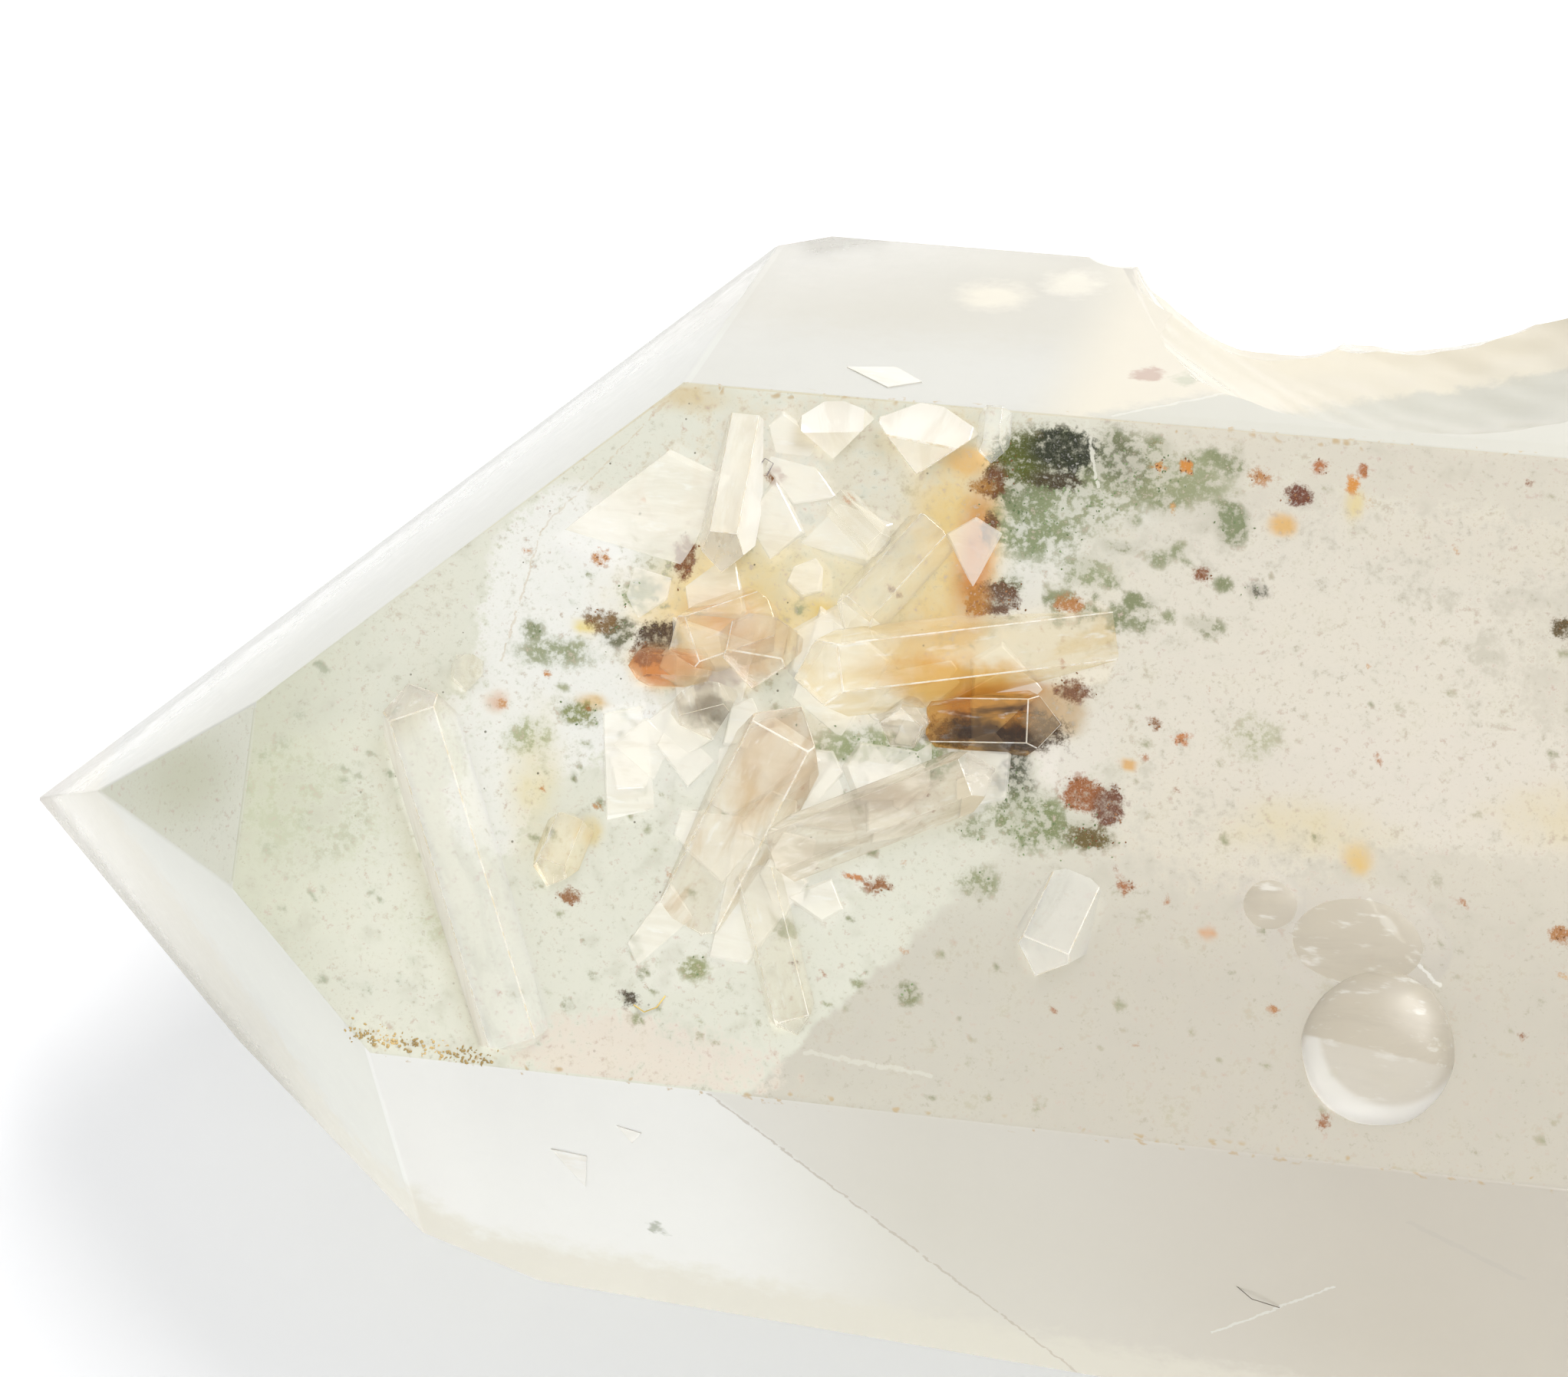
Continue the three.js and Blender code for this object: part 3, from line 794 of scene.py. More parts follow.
# Small spots strewn over a stretch: how many, where along and across, size, strength, colours
CHLORITE_SPOTS = [
    (110, (21.5, 33), (-6.5, 8.5), (0.07, 0.22), 0.8, ((150, 156, 114), (168, 172, 136), (132, 138, 96))),
    (150, (34, 58), (-7.5, 14.5), (0.06, 0.2), 0.6, ((160, 162, 126), (174, 172, 140), (140, 144, 106))),
    (60, (36, 44), (8, 14.5), (0.15, 0.5), 0.8, ((150, 156, 120), (130, 138, 98))),
    (50, (10, 18), (-6, 5), (0.08, 0.25), 0.7, ((182, 190, 168), (170, 180, 156))),
]
IRON_SPOTS = [
    (45, (20, 40), (-6.5, 12), (0.06, 0.13), 0.8, ((172, 98, 46), (122, 70, 30), (212, 140, 66))),
    (26, (40, 58), (-7.5, 14.5), (0.07, 0.16), 0.7, ((190, 128, 84), (150, 96, 66), (226, 172, 106))),
]

# Patches on the other faces: centre, reach, edge, strength, colour
SIDE_PATCHES = [
    ((1.3, 0.2, 0.4), (1.7, 0.6, 1.6), 0.5, 0.55, (219, 204, 184)),
    ((33.1, 20.6, 3.1), (1.1, 0.8, 2), 0.6, 0.8, (248, 240, 222)),
    ((35.6, 21.6, 1.4), (0.9, 0.7, 2), 0.6, 0.8, (247, 240, 224)),
    ((39.5, 17.3, 8.9), (0.55, 0.32, 1), 0.4, 0.7, (186, 146, 130)),
    ((40.8, 17.2, 8.9), (0.35, 0.3, 1), 0.6, 0.6, (186, 194, 170)),
    ((25.5, -12.6, 4.8), (0.25, 0.2, 1), 0.6, 0.8, (158, 164, 142)),
]
# Painted light and shade: each of the other faces that has a tone of its own, lighter or darker by how the
# lamps light it
LIT_FACE_TONES = [
    (PRISM_FACES[1], (219, 218, 213)),
    (END_FACES[1], (228, 228, 223)),
    (END_FACES[5], (238, 238, 230)),
]
# Flat boundaries of the cream tones: direction, distance, softness
CREAM_CHIPS = [((-0.39, 0.92, 0), -0.95, 0.35), ((-0.28, 0.96, 0), 4.9, 0.25)]
CREAM_RIM = [
    ((-0.757, -0.654, 0), -3.69, 0.45),
    ((-0.49, -0.872, 0), 2.46, 0.45),
    ((-0.061, -0.998, 0), 12.3, 0.45),
]
# Thin cracks and scratches, and a few painted glints, a painted highlight and a painted shade edge, from the
# point: from, to, width, strength, colour
UPPER_LINES = [
    ((24.2, 14.4, 12.7), (20.5, 9.8, 12.7), 0.025, 0.3, (212, 180, 140)),
    ((20.5, 9.8, 12.7), (19.7, 5.3, 12.7), 0.025, 0.35, (212, 180, 140)),
    ((38.1, 14.9, 12.7), (38.7, 12.8, 12.7), 0.04, 0.9, (238, 236, 224)),
    ((31.3, -6.4, 12.7), (35.4, -6.7, 12.7), 0.05, 0.35, (250, 246, 238)),
    # Painted glints beside the round bead
    ((48.8, 0.35, 12.7), (50.0, -0.8, 12.7), 0.04, 0.7, (252, 248, 238)),
    ((49.3, -0.15, 12.7), (49.65, -0.5, 12.7), 0.09, 0.95, (255, 255, 253)),
    ((50.15, -1.3, 12.7), (51.3, -2.05, 12.7), 0.04, 0.8, (255, 253, 246)),
]
SIDE_LINES = [
    # The darker edge of the painted shade of the grey wedge on the lower side
    ((28.3, -8.1, 12.6), (40.0, -16.1, -1.3), 0.035, 0.6, (186, 177, 160)),
    ((44.4, -13.9, 2.5), (48.5, -11.9, 6.0), 0.04, 0.5, (250, 248, 242)),
    ((51.0, -9.6, 10.0), (54.6, -10.9, 7.7), 0.09, 0.45, (200, 194, 182)),
    # A painted highlight along the second broken surface by the notch
    ((38.9, 15.2, 12.5), (43.0, 17.1, 9.2), 0.05, 0.35, (250, 247, 238)),
]


def strewn(kinds, seed):
    """Small spots at random places, in the form of the stains' lists."""
    dice = random.Random(seed)
    spots = []
    for count, along, across, size, strength, colours in kinds:
        for _ in range(count):
            reach = dice.uniform(*size)
            place = (dice.uniform(*along), dice.uniform(*across))
            spots.append((*place, reach, reach * dice.uniform(0.6, 1), 0.6, strength, dice.choice(colours)))
    return spots


def stain_layer(mesh, name, stains):
    """Writes one kind of stain to the mesh's points: its colour, and in alpha how much of it there is."""
    points = np.empty(len(mesh.vertices) * 3)
    mesh.vertices.foreach_get("co", points)
    points = points.reshape(-1, 3)
    places = points[:, :2] / MM - np.array(POINT[:2])
    just_under = np.abs(points[:, 2] / MM - POINT_HEIGHT - FACE_ABOVE_POINT) < STAIN_DEPTH
    colour = np.ones((len(points), 4))
    colour[:, :3] = tint(stains[0][-1])[:3]
    amount = np.zeros(len(points))
    for along, across, long_reach, wide_reach, edge, strength, stain_colour in stains:
        far = np.hypot((places[:, 0] - along) / long_reach, (places[:, 1] - across) / wide_reach)
        share = np.clip((1 + edge - far) / (2 * edge), 0, 1)
        share = share * share * (3 - 2 * share) * strength
        near = np.clip(2.2 - far, 0, 1)
        mix = np.maximum(share, np.where(amount < 0.02, near, 0))[:, None]
        colour[:, :3] = colour[:, :3] * (1 - mix) + np.array(tint(stain_colour)[:3]) * mix
        amount = 1 - (1 - amount) * (1 - share)
    colour[:, 3] = amount * just_under
    layer = mesh.attributes.new(name, "FLOAT_COLOR", "POINT")
    layer.data.foreach_set("color", colour.ravel())


def stained_quartz():
    """The upper face of the large crystal, with veils, stains and specks just under it, and some painted
    shade, light and glints.
    """
    paint = Paint("stained_quartz", BODY_TONE)
    gentle = paint.wander(0.55, 1.2)
    along, cloud = paint.body_tone()
    grain = paint.noise(paint.place, 3.6, 3.0, 0.78)["Fac"]
    both = paint.maths("MULTIPLY_ADD", paint.maths("SUBTRACT", grain, 0.5), 0.7, cloud)

    # Painted shade: the grey wedge, where the crystal's shaded back shows through the quartz
    shaded_wedge = paint.beyond(gentle, (0.76, -0.65, 0), 27.6, 0.18)
    paint.over(paint.times(shaded_wedge, paint.ramp(paint.part(gentle, "Y"), 3.0, -3.5, 0.0, 0.85)), (214, 208, 197))

    paint.stain("veils", both, 1.5, 0.2, 0.92, 0.15)
    paint.stain("amber_stains", cloud, 0.8, 0.55, 0.95, 0.15)
    # Painted light: the end face above the point, lighter towards the upper face
    lit_end_face = paint.times(paint.ramp(along, 5, 11, 0.3, 0.85), paint.ramp(along, 11.6, 11.45))
    paint.over(lit_end_face, (243, 243, 231))
    paint.over(paint.soft_patch(paint.place, (8.9, 0.5, 10.2), (2.0, 1.3, 3), 0.8, 0.6), (206, 207, 178))
    paint.stain("chlorite_stains", both, 1.2, 0.45, 0.95, 0.65)
    paint.stain("iron_stains", grain, 2.3, 0.35, 1.0, 0.3)

    # Salt and pepper grain, with fine dark dots near the cluster
    paint.over(paint.ramp(grain, 0.56, 0.74, 0.0, 0.4), (250, 248, 242))
    paint.over(paint.ramp(grain, 0.42, 0.26, 0.0, 0.4), (178, 172, 150))
    dots = paint.specks(paint.place, 1.7, 0.075, 0.45, 0.4)
    near = paint.soft_patch(paint.place, (26, 6, FACE_ABOVE_POINT), (12, 12, 2), 0.5, 0.8)
    paint.over(paint.times(dots, near), (90, 82, 66))
    paint.lines(paint.wander(2.2, 0.35), UPPER_LINES)
    paint.rusty_edges(gentle)
    roughness = paint.ramp(cloud, 0.3, 0.8, 0.12, 0.25)
    return paint.quartz(roughness, 0.12, 0.05, LARGE_TRANSMISSION, 0.2, **LARGE_GLASS)


def milky_quartz():
    """The other faces of the large crystal, each with its own tone, partly painted light and shade."""
    paint = Paint("milky_quartz", BODY_TONE)
    torn = paint.wander(1.4, 1.2)
    along, fine = paint.body_tone()
    # Painted light and shade: a tone for each face by how it is lit
    for face, tone in LIT_FACE_TONES:
        paint.over(paint.times(paint.on_face(face), 0.9), tone)
    # Painted light on the lower side: near white towards the point, where light coming through the crystal
    # leaves it, turning darker and beige towards the base
    low_side = paint.on_face(PRISM_FACES[5])
    lit_low_tone = paint.lay((252, 251, 248), paint.ramp(along, 27, 36), (228, 223, 211))
    lit_low_tone = paint.lay(lit_low_tone, paint.ramp(along, 38, 52), (194, 182, 160))
    paint.over(paint.times(low_side, 0.92), lit_low_tone)
    edgeward = paint.part(torn, "Y")
    paint.over(paint.ramp(edgeward, -12.5, -18, 0.0, 0.5), (236, 226, 202))
    paint.over(paint.ramp(edgeward, 16.8, 19.5, 0.0, 0.4), (208, 200, 180))
    # Painted shade: the grey wedge carries on over the lower side
    below = paint.beyond(paint.place, (0.567, 0.824, 0), 9.4, 0.14)
    paint.over(paint.times(below, low_side, 0.55), (220, 214, 202))

    # Chlorite in the lower half, which lies away from the camera
    lower = paint.ramp(paint.part(torn, "Z"), -1.0, -4.0)
    paint.over(paint.times(lower, paint.ramp(fine, 0.5, 0.72, 0.0, 0.5)), (176, 184, 150))
    paint.over(paint.times(paint.specks(torn, 0.9, 0.24, 0.35, 0.6), lower, 0.7), (132, 138, 98))

    # The broken edge above: painted shade greys the broken surfaces, which the key lamp lights strongly, and
    # cream lies near the outline
    shaded_chips = paint.beyond(paint.place, (0, 1, 0), 12.6, 0.2)
    shaded_chips = paint.times(shaded_chips, paint.ramp(along, 35.5, 38.5, 0.0, 0.85))
    paint.over(shaded_chips, (214, 213, 201))
    paint.over(paint.times(paint.beyond_any(torn, CREAM_CHIPS), shaded_chips), (240, 231, 212))

    # The cream rim, painted where the back edges show through the quartz
    paint.over(paint.times(paint.beyond_any(torn, CREAM_RIM), 0.85), (237, 231, 214))
    paint.patches(torn, SIDE_PATCHES)
    paint.lines(paint.wander(2.2, 0.35), SIDE_LINES)
    paint.rusty_edges(torn)
    roughness = paint.ramp(fine, 0.3, 0.8, 0.13, 0.25)
    return paint.quartz(roughness, 0.1, 0.03, LARGE_TRANSMISSION, 0.35, **LARGE_GLASS)


def bead_painted_light(paint):
    """Painted light in the round bead, where it gathers the lamps' light: a lighter lower part with a crisp
    flaw across it, and a bright rim below.
    """
    along, across, height = BEADS[0][1]
    lower = paint.beyond(paint.place, (-0.12, -0.99, 0), 0.99 * -across - 0.12 * along + 0.1, 0.05)
    inside = paint.soft_patch(paint.place, (along, across, height), (2.2, 2.2, 3), 0.12, 0.5)
    paint.over(paint.times(lower, inside), (238, 236, 231))
    core = paint.soft_patch(paint.place, (along + 0.35, across + 0.5, height), (2.25, 2.3, 4), 0.06)
    near = paint.soft_patch(paint.place, (along, across - 1.0, height), (2.6, 2.6, 4), 0.1)
    paint.over(paint.times(paint.maths("SUBTRACT", 1.0, core), lower, near), (255, 255, 253))


def small_quartz(name):
    """The small crystals and the beads: clearer quartz with veils and wisps in it."""
    light, veiled, transmission, veil_strength = CRYSTAL_TONES[name]
    paint = Paint(name, light)
    own = paint.add("Attribute", attribute_name="own_place").outputs["Vector"]
    drawn_out = paint.vector("MULTIPLY", own, (0.35, 1.2, 1.2))
    wisp = paint.noise(drawn_out, 0.8, 4.0, 0.66, 0.6)["Fac"]
    fine = paint.noise(drawn_out, 2.6, 3.0, 0.6)["Fac"]
    paint.over(paint.ramp(wisp, 0.46, 0.64, 0.0, veil_strength), veiled)
    paint.over(paint.ramp(fine, 0.56, 0.72, 0.0, 0.8), (255, 255, 252))
    if name in CRYSTAL_STAINS:
        paint.patches(paint.wander(1.1, 1.4), CRYSTAL_STAINS[name])
    smoothest, shine = 0.04, 0.5
    if name == "bead_quartz":
        # Painted light in the round bead
        bead_painted_light(paint)
        smoothest, shine = 0.36, 0.02
    roughness = paint.ramp(wisp, 0.35, 0.75, smoothest, smoothest + 0.09)
    return paint.quartz(roughness, 0.1, 0.05, transmission, shine, **SMALL_GLASS)


def frosted_highlit_edge():
    """The bright edges of the small crystals: worn frost, whose white also stands in as a painted highlight
    along them.
    """
    paint = Paint("frosted_highlit_edge", (252, 250, 244))
    wear = paint.noise(paint.place, 2.4, 3.0, 0.7)["Fac"]
    paint.over(paint.ramp(wear, 0.44, 0.6), (228, 217, 194))
    return paint.quartz(paint.ramp(wear, 0.3, 0.7, 0.3, 0.42), 0.0, 0.1, EDGE_TRANSMISSION, 0.5, **EDGE_GLASS)


finishes = {}


def finish(name):
    """A quartz finish by name. Each is made once."""
    if not effects:
        make_effects()
    makers = {
        "stained_quartz": stained_quartz,
        "milky_quartz": milky_quartz,
        "frosted_highlit_edge": frosted_highlit_edge,
    }
    if name not in finishes:
        finishes[name] = makers[name]() if name in makers else small_quartz(name)
    return finishes[name]


def grain_finish(name, colour):
    """Dull opaque grains, each stretch a little lighter or darker."""
    material = empty_material(name)
    nodes = Nodes(material.node_tree)
    spot = nodes.add("TexCoord").outputs["Object"]
    patchy = nodes.noise(spot, 900.0, 2.0, 0.5)["Fac"]
    lighter = [min(1.0, value * 1.7 + 0.02) for value in colour]
    mixed = nodes.lay((*colour, 1.0), nodes.ramp(patchy, 0.4, 0.65), (*lighter, 1.0))
    shader = nodes.add("BsdfPrincipled", {"Base Color": mixed, "Roughness": 0.85, "Specular IOR Level": 0.1})
    nodes.add("OutputMaterial", {"Surface": shader.outputs["BSDF"]})
    return material


# Operators

def grid_on_upper_face(body):
    """Slices the stained stretch of the upper face into small squares, which carry the stains."""
    bm = bmesh.new()
    bm.from_mesh(body.data)
    lowest, highest = STAINED_STRETCH
    for axis in (0, 1):
        for step in range(round((highest[axis] - lowest[axis]) / STAIN_STEP) + 1):
            upper = []
            for face in bm.faces:
                if face.normal.z > 0.999 and face.calc_center_median().z > FACE_ABOVE_POINT - 0.01:
                    upper.append(face)
            edges = {edge for face in upper for edge in face.edges}
            corners = {corner for face in upper for corner in face.verts}
            place, normal = Vector(ORIGIN), Vector(ORIGIN)
            place[axis], normal[axis] = lowest[axis] + step * STAIN_STEP, 1
            geom = upper + list(edges) + list(corners)
            bmesh.ops.bisect_plane(bm, geom=geom, dist=1e-5, plane_co=place, plane_no=normal)
    bm.to_mesh(body.data)
    bm.free()


class QuartzBody(bpy.types.Operator):
    """Make the large crystal with its chips and broken base"""

    bl_idname = "quartz.body"
    bl_label = "Large crystal"

    def execute(self, context):
        sizes = context.scene.quartz_sizes
        bm = crystal_within(PRISM_FACES + END_FACES, 90)
        soften_edges(bm, sizes.edge_width / MM)
        body = mesh_object("large_crystal", bm, Matrix())
        carve(body, broken_end(sizes))
        for seed, row in enumerate(EDGE_CHIPS + BASE_SCOOPS, start=1):
            carve(body, hollow(seed, sizes, *row))
        grid_on_upper_face(body)
        body.data.transform(TO_THE_GROUND)
        if len(body.data.polygons) < FEWEST_FACES:
            raise RuntimeError("a cut emptied the large crystal")
        finish_piece(body, finish("milky_quartz"), finish("stained_quartz"), sharp_angle=25.0)
        face_height = (POINT_HEIGHT + FACE_ABOVE_POINT - 0.05) * MM
        for polygon in body.data.polygons:
            end_up = polygon.normal.dot(face_normal(0, END_LEAN)) > FACING
            if end_up or polygon.normal.z > 0.9 and polygon.center.z > face_height:
                polygon.material_index = 1
        stain_layer(body.data, "veils", VEILS)
        stain_layer(body.data, "amber_stains", AMBER_STAINS)
        stain_layer(body.data, "chlorite_stains", strewn(CHLORITE_SPOTS, 5) + CHLORITE_STAINS)
        stain_layer(body.data, "iron_stains", strewn(IRON_SPOTS, 8) + IRON_STAINS)
        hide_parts(NODE)
        return {"FINISHED"}


def small_crystal(length, width, depth, edge, lit_sides, shaded_point):
    """A prism with a six-faced point at the origin, pointing along +X."""
    side = width / 2 * math.cos(math.pi / 6)
    faces = [(azimuth, lean, share * length) for azimuth, lean, share in SMALL_BASES]
    for turn in range(6):
        faces.append((turn * 60, 0, depth / 2 if turn % 3 == 0 else side))
        faces.append((turn * 60, -END_LEAN, turn % 2 * END_STEP * width))
    bm = crystal_within(faces, length * 1.5 + width)
    for face in bm.faces:
        # Painted light on the listed sides, and painted shade on the points of some crystals
        if any(face.normal.dot(face_normal(turn, 0)) > FACING for turn in lit_sides):
            face.material_index = PAINTED_LIT
        elif shaded_point and 0.5 < face.normal.x < 0.7:
            face.material_index = PAINTED_SHADE
    soften_edges(bm, edge, finish_index=FROSTED_HIGHLIT)
    # The underside and the rooted end get no frosted edges with their painted highlight
    for face in bm.faces:
        hidden = face.normal.z < 0.3 or face.calc_center_median().x < -0.6 * length
        if face.material_index == FROSTED_HIGHLIT and hidden:
            face.material_index = 0
    return bm


class QuartzSmallCrystals(bpy.types.Operator):
    """Make the small crystals grown on the upper face"""

    bl_idname = "quartz.small_crystals"
    bl_label = "Small crystals"

    def execute(self, context):
        edge = context.scene.quartz_sizes.small_edge_width / MM
        for seed, row in enumerate(SMALL_CRYSTALS):
            name, tone, along, across, turn, length, width, depth, rise, stand = row
            lit_sides = LIT_SIDES.get(name, ())
            bm = small_crystal(length, width, depth, edge, lit_sides, name in SHADED_POINTS)
            lie = Matrix.Rotation(math.radians(turn), 4, "Z") @ Matrix.Rotation(math.radians(-rise), 4, "Y")
            place = Matrix.Translation((along, across, FACE_ABOVE_POINT + stand)) @ lie
            bmesh.ops.transform(bm, matrix=place, verts=bm.verts)
            # The last two finishes are painted light for sides and painted shade for points
            materials = [finish(kind) for kind in (tone, "frosted_highlit_edge", "lit_quartz", "shaded_quartz")]
            piece = mesh_object(name, bm)
            keep_own_place(piece, place, seed)
            kinds_used = 1 + max(polygon.material_index for polygon in piece.data.polygons)
            finish_piece(piece, *materials[:kinds_used])
        return {"FINISHED"}


class QuartzBead(bpy.types.Operator):
    """Make the smooth round bead on the upper face, with two low ones behind it"""

    bl_idname = "quartz.bead"
    bl_label = "Round beads"

    def execute(self, context):
        for turn, (name, centre, radii) in enumerate(BEADS):
            bm = bmesh.new()
            bmesh.ops.create_uvsphere(bm, u_segments=64, v_segments=32, radius=1)
            for vert in bm.verts:
                place = vert.co + Vector((0, 0, turn * 3))
                vert.co *= 1 + 0.04 * noise.noise(place * 1.4) + 0.012 * noise.noise(place * 3.7)
            bmesh.ops.scale(bm, vec=radii, verts=bm.verts)
            bmesh.ops.translate(bm, vec=centre, verts=bm.verts)
            piece = mesh_object(name, bm)
            keep_own_place(piece, Matrix(), turn)
            finish_piece(piece, finish("bead_quartz"), sharp_angle=ROUND_ANGLE)
        return {"FINISHED"}


def crystal_plate(width, height, dice):
    """A low plate with four to six sloping sides."""
    bm = bmesh.new()
    bmesh.ops.create_cube(bm, size=width * 4)
    corners = dice.randint(4, 6)
    first = dice.uniform(0, 2 * math.pi)
    for side in range(corners):
        angle = first + 2 * math.pi * (side + dice.uniform(-0.22, 0.22)) / corners
        normal = Vector((math.cos(angle), math.sin(angle), dice.uniform(0.3, 1.2))).normalized()
        cut_off(bm, normal, normal * width * dice.uniform(0.2, 0.62))
    top = Vector((dice.uniform(-0.1, 0.1), dice.uniform(-0.1, 0.1), 1)).normalized()
    cut_off(bm, top, Vector((0, 0, height)))
    cut_off(bm, Vector((0, 0, -1)), Vector((0, 0, -0.3)))
    soften_edges(bm, 0.03, 1)
    return bm


class QuartzPlates(bpy.types.Operator):
    """Make the low crystal plates that lie between the small crystals"""

    bl_idname = "quartz.plates"
    bl_label = "Crystal plates"

    def execute(self, context):
        dice = random.Random(11)
        whole = bmesh.new()
        made = 0
        while made < context.scene.quartz_sizes.plate_count:
            along = dice.gauss(PLATE_MIDDLE[0], PLATE_SPREAD[0])
            across = dice.gauss(PLATE_MIDDLE[1], PLATE_SPREAD[1])
            width = dice.uniform(0.9, 2.7)
            # A plate stays whole on the upper face, which narrows towards the point
            lowest, highest = 0.7 * width - 7.9, min(EDGE_ACROSS, 2.4 + (along - 11.4) * 0.9) - 0.6 * width
            if not (PLATE_STRETCH[0] < along < PLATE_STRETCH[1] and lowest < across < highest):
                continue
            made += 1
            bm = crystal_plate(width, dice.uniform(0.03, 0.1), dice)
            bmesh.ops.translate(bm, vec=(along, across, FACE_ABOVE_POINT), verts=bm.verts)
            part = bpy.data.meshes.new("part")
            bm.to_mesh(part)
            bm.free()
            whole.from_mesh(part)
            bpy.data.meshes.remove(part)
        plates = mesh_object("crystal_plates", whole)
        keep_own_place(plates, Matrix(), 3)
        finish_piece(plates, finish("plate_quartz"))
        return {"FINISHED"}


def add_grain(whole, place, size, dice):
    """One angular crumb."""
    turn = Matrix.Rotation(dice.uniform(0, WHOLE_TURN), 4, "Z")
    turn = turn @ Matrix.Rotation(dice.uniform(0, WHOLE_TURN), 4, "X")
    shape = Matrix.Diagonal((1, dice.uniform(0.6, 1), dice.uniform(0.35, 0.7), 1))
    lie = Matrix.Translation(place) @ turn @ shape
    made = bmesh.ops.create_icosphere(whole, subdivisions=1, radius=size, matrix=lie)
    for vert in made["verts"]:
        vert.co = place + (vert.co - place) * dice.uniform(0.75, 1.2)


def dark_stains(stains):
    """The stains that are dark enough to hold grains, with how much each draws."""
    dark, shares = [], []
    for stain in stains:
        red, green, blue = stain[-1]
        in_range = GRAINY_TONES[0] < red + green + blue < GRAINY_TONES[1]
        if in_range and blue < 0.9 * min(red, green):
            dark.append(stain)
            shares.append(stain[2] * stain[3])
    return dark, shares


class QuartzGrains(bpy.types.Operator):
    """Make the fine grains of chlorite and iron oxide, and the dirt on a ledge"""

    bl_idname = "quartz.grains"
    bl_label = "Grains"

    def execute(self, context):
        count, colours = context.scene.quartz_sizes.grain_count, context.scene.quartz_colours
        for name, stains, colour in (
            ("chlorite_grains", CHLORITE_STAINS, colours.chlorite),
            ("iron_grains", IRON_STAINS, colours.iron),
        ):
            dark, shares = dark_stains(stains)
            dice = random.Random(len(stains))
            whole = bmesh.new()
            for _ in range(count):
                along, across, long_reach, wide_reach = dice.choices(dark, weights=shares)[0][:4]
                size = dice.uniform(0.02, 0.055)
                along += dice.gauss(0, 0.55) * long_reach
                across += dice.gauss(0, 0.55) * wide_reach
                on_black = math.hypot((along - BLACK_PATCH[0]) / 1.5, (across - BLACK_PATCH[1]) / 1.1) < 1
                if across < EDGE_ACROSS and not on_black:
                    add_grain(whole, Vector((along, across, FACE_ABOVE_POINT - size * 0.1)), size, dice)
            finish_piece(mesh_object(name, whole), grain_finish(name, colour))

        dice = random.Random(4)
        whole = bmesh.new()
        for _ in range(count // 2):
            share = dice.random()
            place = Vector((16.2 + 4.7 * share, -7.35 - 0.55 * share, FACE_ABOVE_POINT))
            place += Vector((dice.gauss(0, 0.15), dice.gauss(0, 0.16), 0))
            if place.y > -8.0:
                add_grain(whole, place, dice.uniform(0.025, 0.075), dice)
        finish_piece(mesh_object("ledge_dirt", whole), grain_finish("ledge_dirt", (0.32, 0.23, 0.1)))
        return {"FINISHED"}


# Hairs: name, colour, thickness, the places it passes
HAIRS = [
    ("yellow_fibre", (0.5, 0.36, 0.1), 0.022,
     ((25.5, -5.5, 12.7), (25.9, -5.7, 12.84), (26.3, -5.5, 12.86), (26.5, -5.1, 12.7))),
    ("curled_hair", (0.12, 0.1, 0.12), 0.014,
     ((27.5, 12.5, 12.7), (27.7, 12.75, 12.8), (28.0, 12.6, 12.84), (27.8, 12.2, 12.7))),
    ("dark_hair", (0.14, 0.12, 0.1), 0.016,
     ((45.2, -12.2, 5.4), (45.8, -12.62, 5.05), (46.3, -12.72, 4.75), (46.7, -12.8, 4.5))),
]
# Thin flakes grown on a face: the face's azimuth, corners
FLAKES = [
    (-60, ((22.4, -10.4, 8.6), (23.3, -11.5, 6.7), (23.6, -10.5, 8.4))),
    (-60, ((24.9, -9.4, 10.3), (25.7, -9.55, 10.05), (25.3, -9.9, 9.45))),
    (60, ((29.6, 16.4, 10.4), (31.3, 15.6, 11.8), (32.3, 16.0, 11.1), (31.2, 16.6, 10.05))),
]


def join_rings(bm, lower, upper):
    """Closes the wall between two rings of corners."""
    for side in range(len(lower)):
        bm.faces.new((lower[side], lower[side - 1], upper[side - 1], upper[side]))


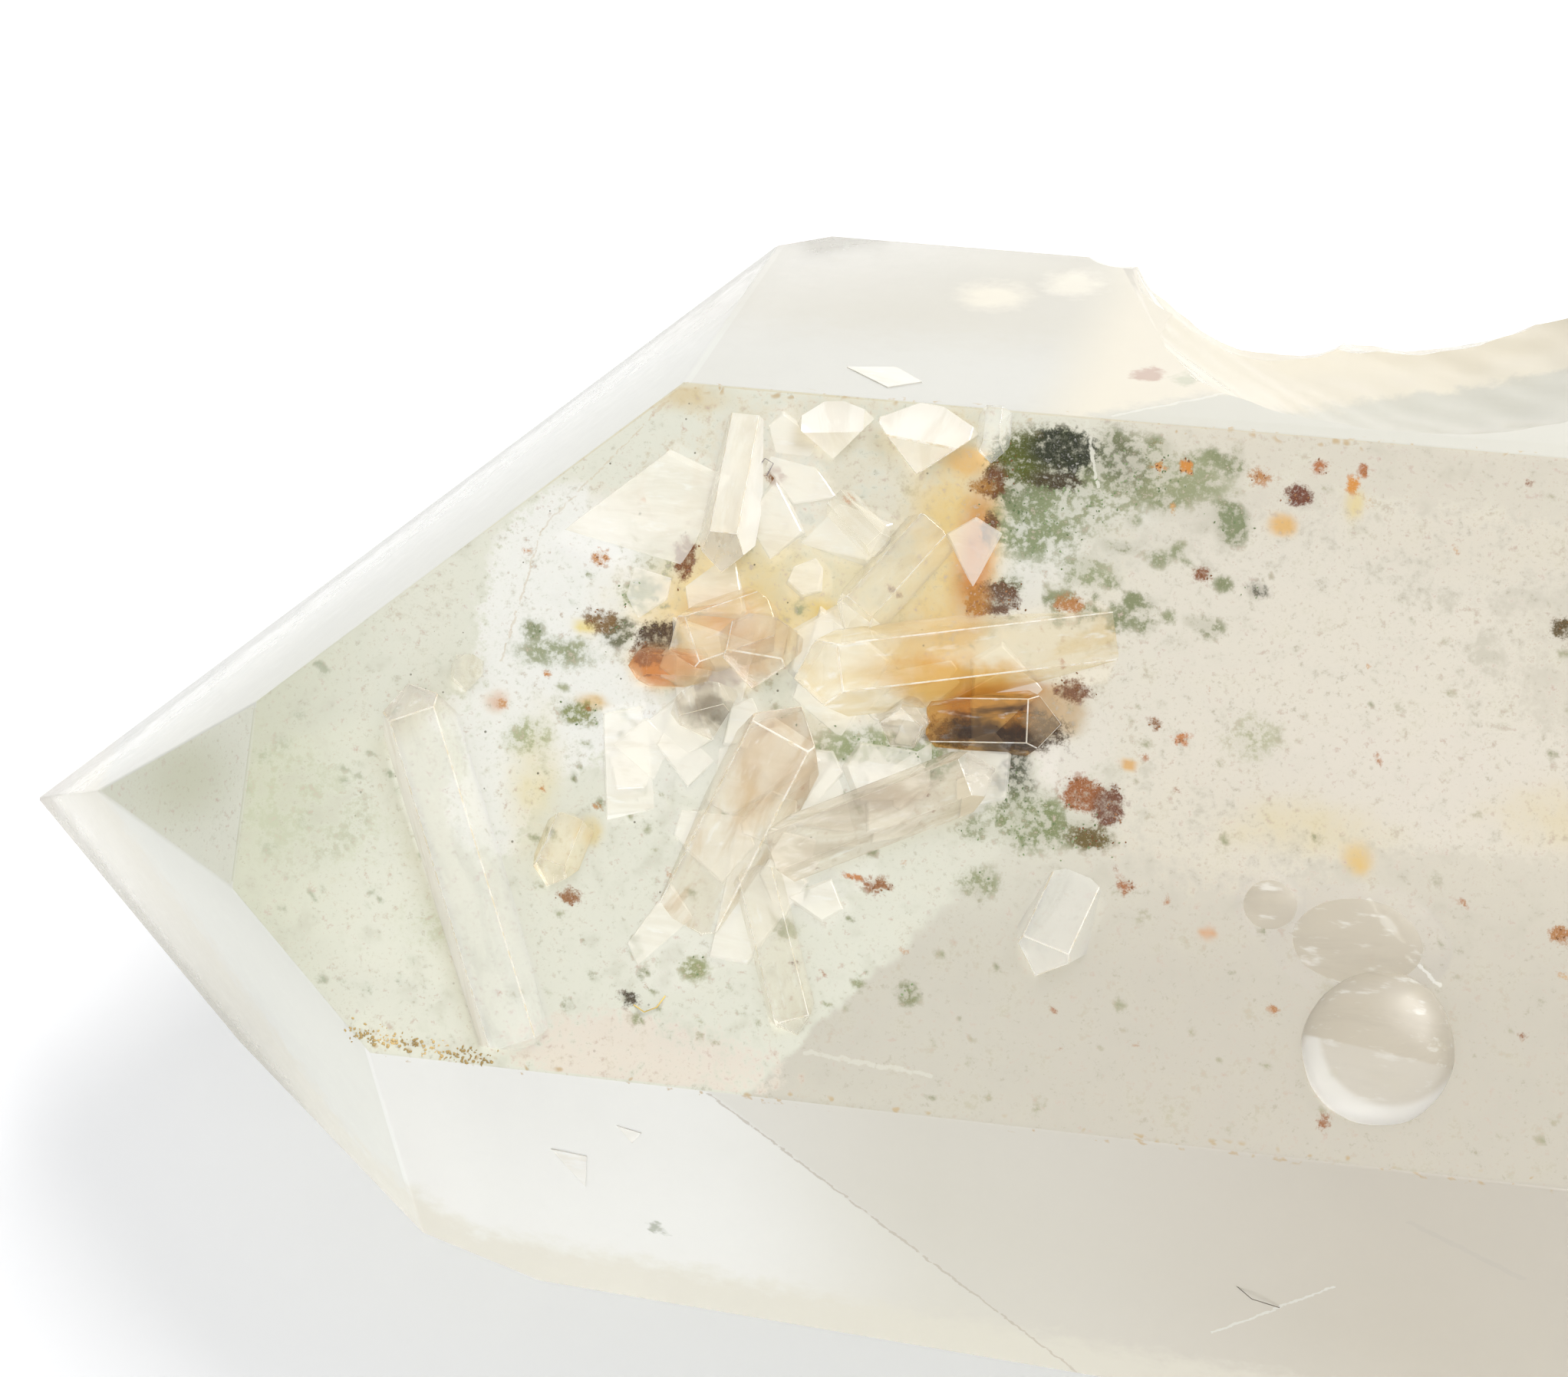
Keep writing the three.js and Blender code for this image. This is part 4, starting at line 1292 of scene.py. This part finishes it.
class QuartzTrimmings(bpy.types.Operator):
    """Make the hairs caught on the crystal and the thin flakes grown on its faces"""

    bl_idname = "quartz.trimmings"
    bl_label = "Hairs and flakes"

    def execute(self, context):
        for name, colour, thickness, places in HAIRS:
            bm = bmesh.new()
            rings = []
            last = len(places) - 1
            for spot, place in enumerate(places):
                before, after = Vector(places[max(spot - 1, 0)]), Vector(places[min(spot + 1, last)])
                turn = Vector((0, 0, 1)).rotation_difference(after - before).to_matrix().to_4x4()
                lie = Matrix.Translation(place) @ turn
                is_end = spot in (0, last)
                ring = bmesh.ops.create_circle(bm, segments=6, radius=thickness, cap_ends=is_end, matrix=lie)
                rings.append(ring["verts"])
            for lower, upper in zip(rings, rings[1:]):
                join_rings(bm, lower, upper)
            bmesh.ops.recalc_face_normals(bm, faces=bm.faces)
            finish_piece(mesh_object(name, bm), grain_finish(name, colour), sharp_angle=ROUND_ANGLE)

        whole = bmesh.new()
        for azimuth, corners in FLAKES:
            normal = face_normal(azimuth, 0)
            low = [whole.verts.new(Vector(corner) - normal * 0.12) for corner in corners]
            top = [whole.verts.new(Vector(corner) + normal * 0.035) for corner in corners]
            whole.faces.new(low)
            whole.faces.new(top)
            join_rings(whole, low, top)
        bmesh.ops.recalc_face_normals(whole, faces=whole.faces)
        flakes = mesh_object("thin_flakes", whole)
        keep_own_place(flakes, Matrix(), 5)
        finish_piece(flakes, finish("plate_quartz"))
        return {"FINISHED"}


# Lamps: name, place in metres, size, power, colour
LAMPS = [
    ("key_light", (0.32, 0.42, 0.55), 0.4, 6.5, (1.0, 0.985, 0.96)),
    ("fill_light", (-0.5, -0.25, 0.5), 0.5, 0.5, (0.95, 0.97, 1.0)),
    ("low_light", (-0.12, -0.72, 0.2), 0.5, 3.3, (0.98, 0.985, 1.0)),
]
LIT_PLACE = Vector((0, 0, 0.01))  # where the lamps point, in metres


class QuartzStudio(bpy.types.Operator):
    """Make the pale floor, the soft lights and the camera"""

    bl_idname = "quartz.studio"
    bl_label = "Studio"

    def execute(self, context):
        scene = context.scene
        bm = bmesh.new()
        bmesh.ops.create_grid(bm, x_segments=2, y_segments=2, size=3)
        bmesh.ops.translate(bm, vec=(0, 0, -0.02 * MM), verts=bm.verts)
        floor = mesh_object("floor", bm, Matrix())
        pale = empty_material("pale_floor")
        nodes = Nodes(pale.node_tree)
        shader = nodes.add("BsdfPrincipled", {"Base Color": (0.93, 0.93, 0.94, 1), "Roughness": 0.9})
        nodes.add("OutputMaterial", {"Surface": shader.outputs["BSDF"]})
        floor.data.materials.append(pale)

        scene.world = bpy.data.worlds.new("studio")
        scene.world.use_nodes = True
        background = scene.world.node_tree.nodes["Background"].inputs
        background["Color"].default_value = (0.97, 0.98, 1.0, 1)
        background["Strength"].default_value = 0.66

        for name, place, size, power, colour in LAMPS:
            data = bpy.data.lights.new(name, "AREA")
            data.shape, data.size, data.energy, data.color = "SQUARE", size, power, colour
            lamp = bpy.data.objects.new(name, data)
            lamp.location = place
            lamp.visible_transmission = False
            lamp.rotation_euler = (LIT_PLACE - Vector(place)).to_track_quat("-Z", "Y").to_euler()
            scene.collection.objects.link(lamp)

        data = bpy.data.cameras.new("camera")
        data.sensor_width, data.lens = SENSOR_WIDTH, CAMERA_LENS
        data.clip_start, data.clip_end = 0.01, 20
        camera = bpy.data.objects.new("camera", data)
        axes = Matrix((CAMERA_RIGHT, CAMERA_UP, CAMERA_BACK)).transposed().to_4x4()
        camera.matrix_world = Matrix.Translation(CAMERA_PLACE) @ axes
        scene.collection.objects.link(camera)
        scene.camera = camera

        scene.view_settings.view_transform = "Standard"
        scene.view_settings.look = "None"
        cycles = scene.cycles
        cycles.max_bounces, cycles.transmission_bounces = 6, 6
        cycles.glossy_bounces, cycles.diffuse_bounces = 2, 1
        cycles.transparent_max_bounces = 10
        cycles.adaptive_threshold = 0.08
        cycles.blur_glossy = 0.3
        cycles.sample_clamp_indirect = 6.0
        cycles.use_denoising = True
        return {"FINISHED"}


OPERATORS = (
    QuartzBody, QuartzSmallCrystals, QuartzBead, QuartzPlates, QuartzGrains, QuartzTrimmings, QuartzStudio
)


class QuartzPanel(bpy.types.Panel):
    """Lists what can be made"""

    bl_idname = "VIEW3D_PT_quartz"
    bl_label = "Chlorite quartz crystal"
    bl_space_type = "VIEW_3D"
    bl_region_type = "UI"
    bl_category = "Quartz"

    def draw(self, context):
        for operator in OPERATORS:
            self.layout.operator(operator.bl_idname)
        for group in (context.scene.quartz_sizes, context.scene.quartz_colours):
            for name in group.__annotations__:
                self.layout.prop(group, name)


CLASSES = (QuartzSizes, QuartzColours) + OPERATORS + (QuartzPanel,)


def register():
    for cls in CLASSES:
        bpy.utils.register_class(cls)
    bpy.types.Scene.quartz_sizes = bpy.props.PointerProperty(type=QuartzSizes)
    bpy.types.Scene.quartz_colours = bpy.props.PointerProperty(type=QuartzColours)


def unregister():
    del bpy.types.Scene.quartz_colours
    del bpy.types.Scene.quartz_sizes
    for cls in reversed(CLASSES):
        bpy.utils.unregister_class(cls)


def main():
    register()
    bpy.ops.quartz.body()
    bpy.ops.quartz.small_crystals()
    bpy.ops.quartz.bead()
    bpy.ops.quartz.plates()
    bpy.ops.quartz.grains()
    bpy.ops.quartz.trimmings()
    bpy.ops.quartz.studio()


if __name__ == "__main__":
    main()
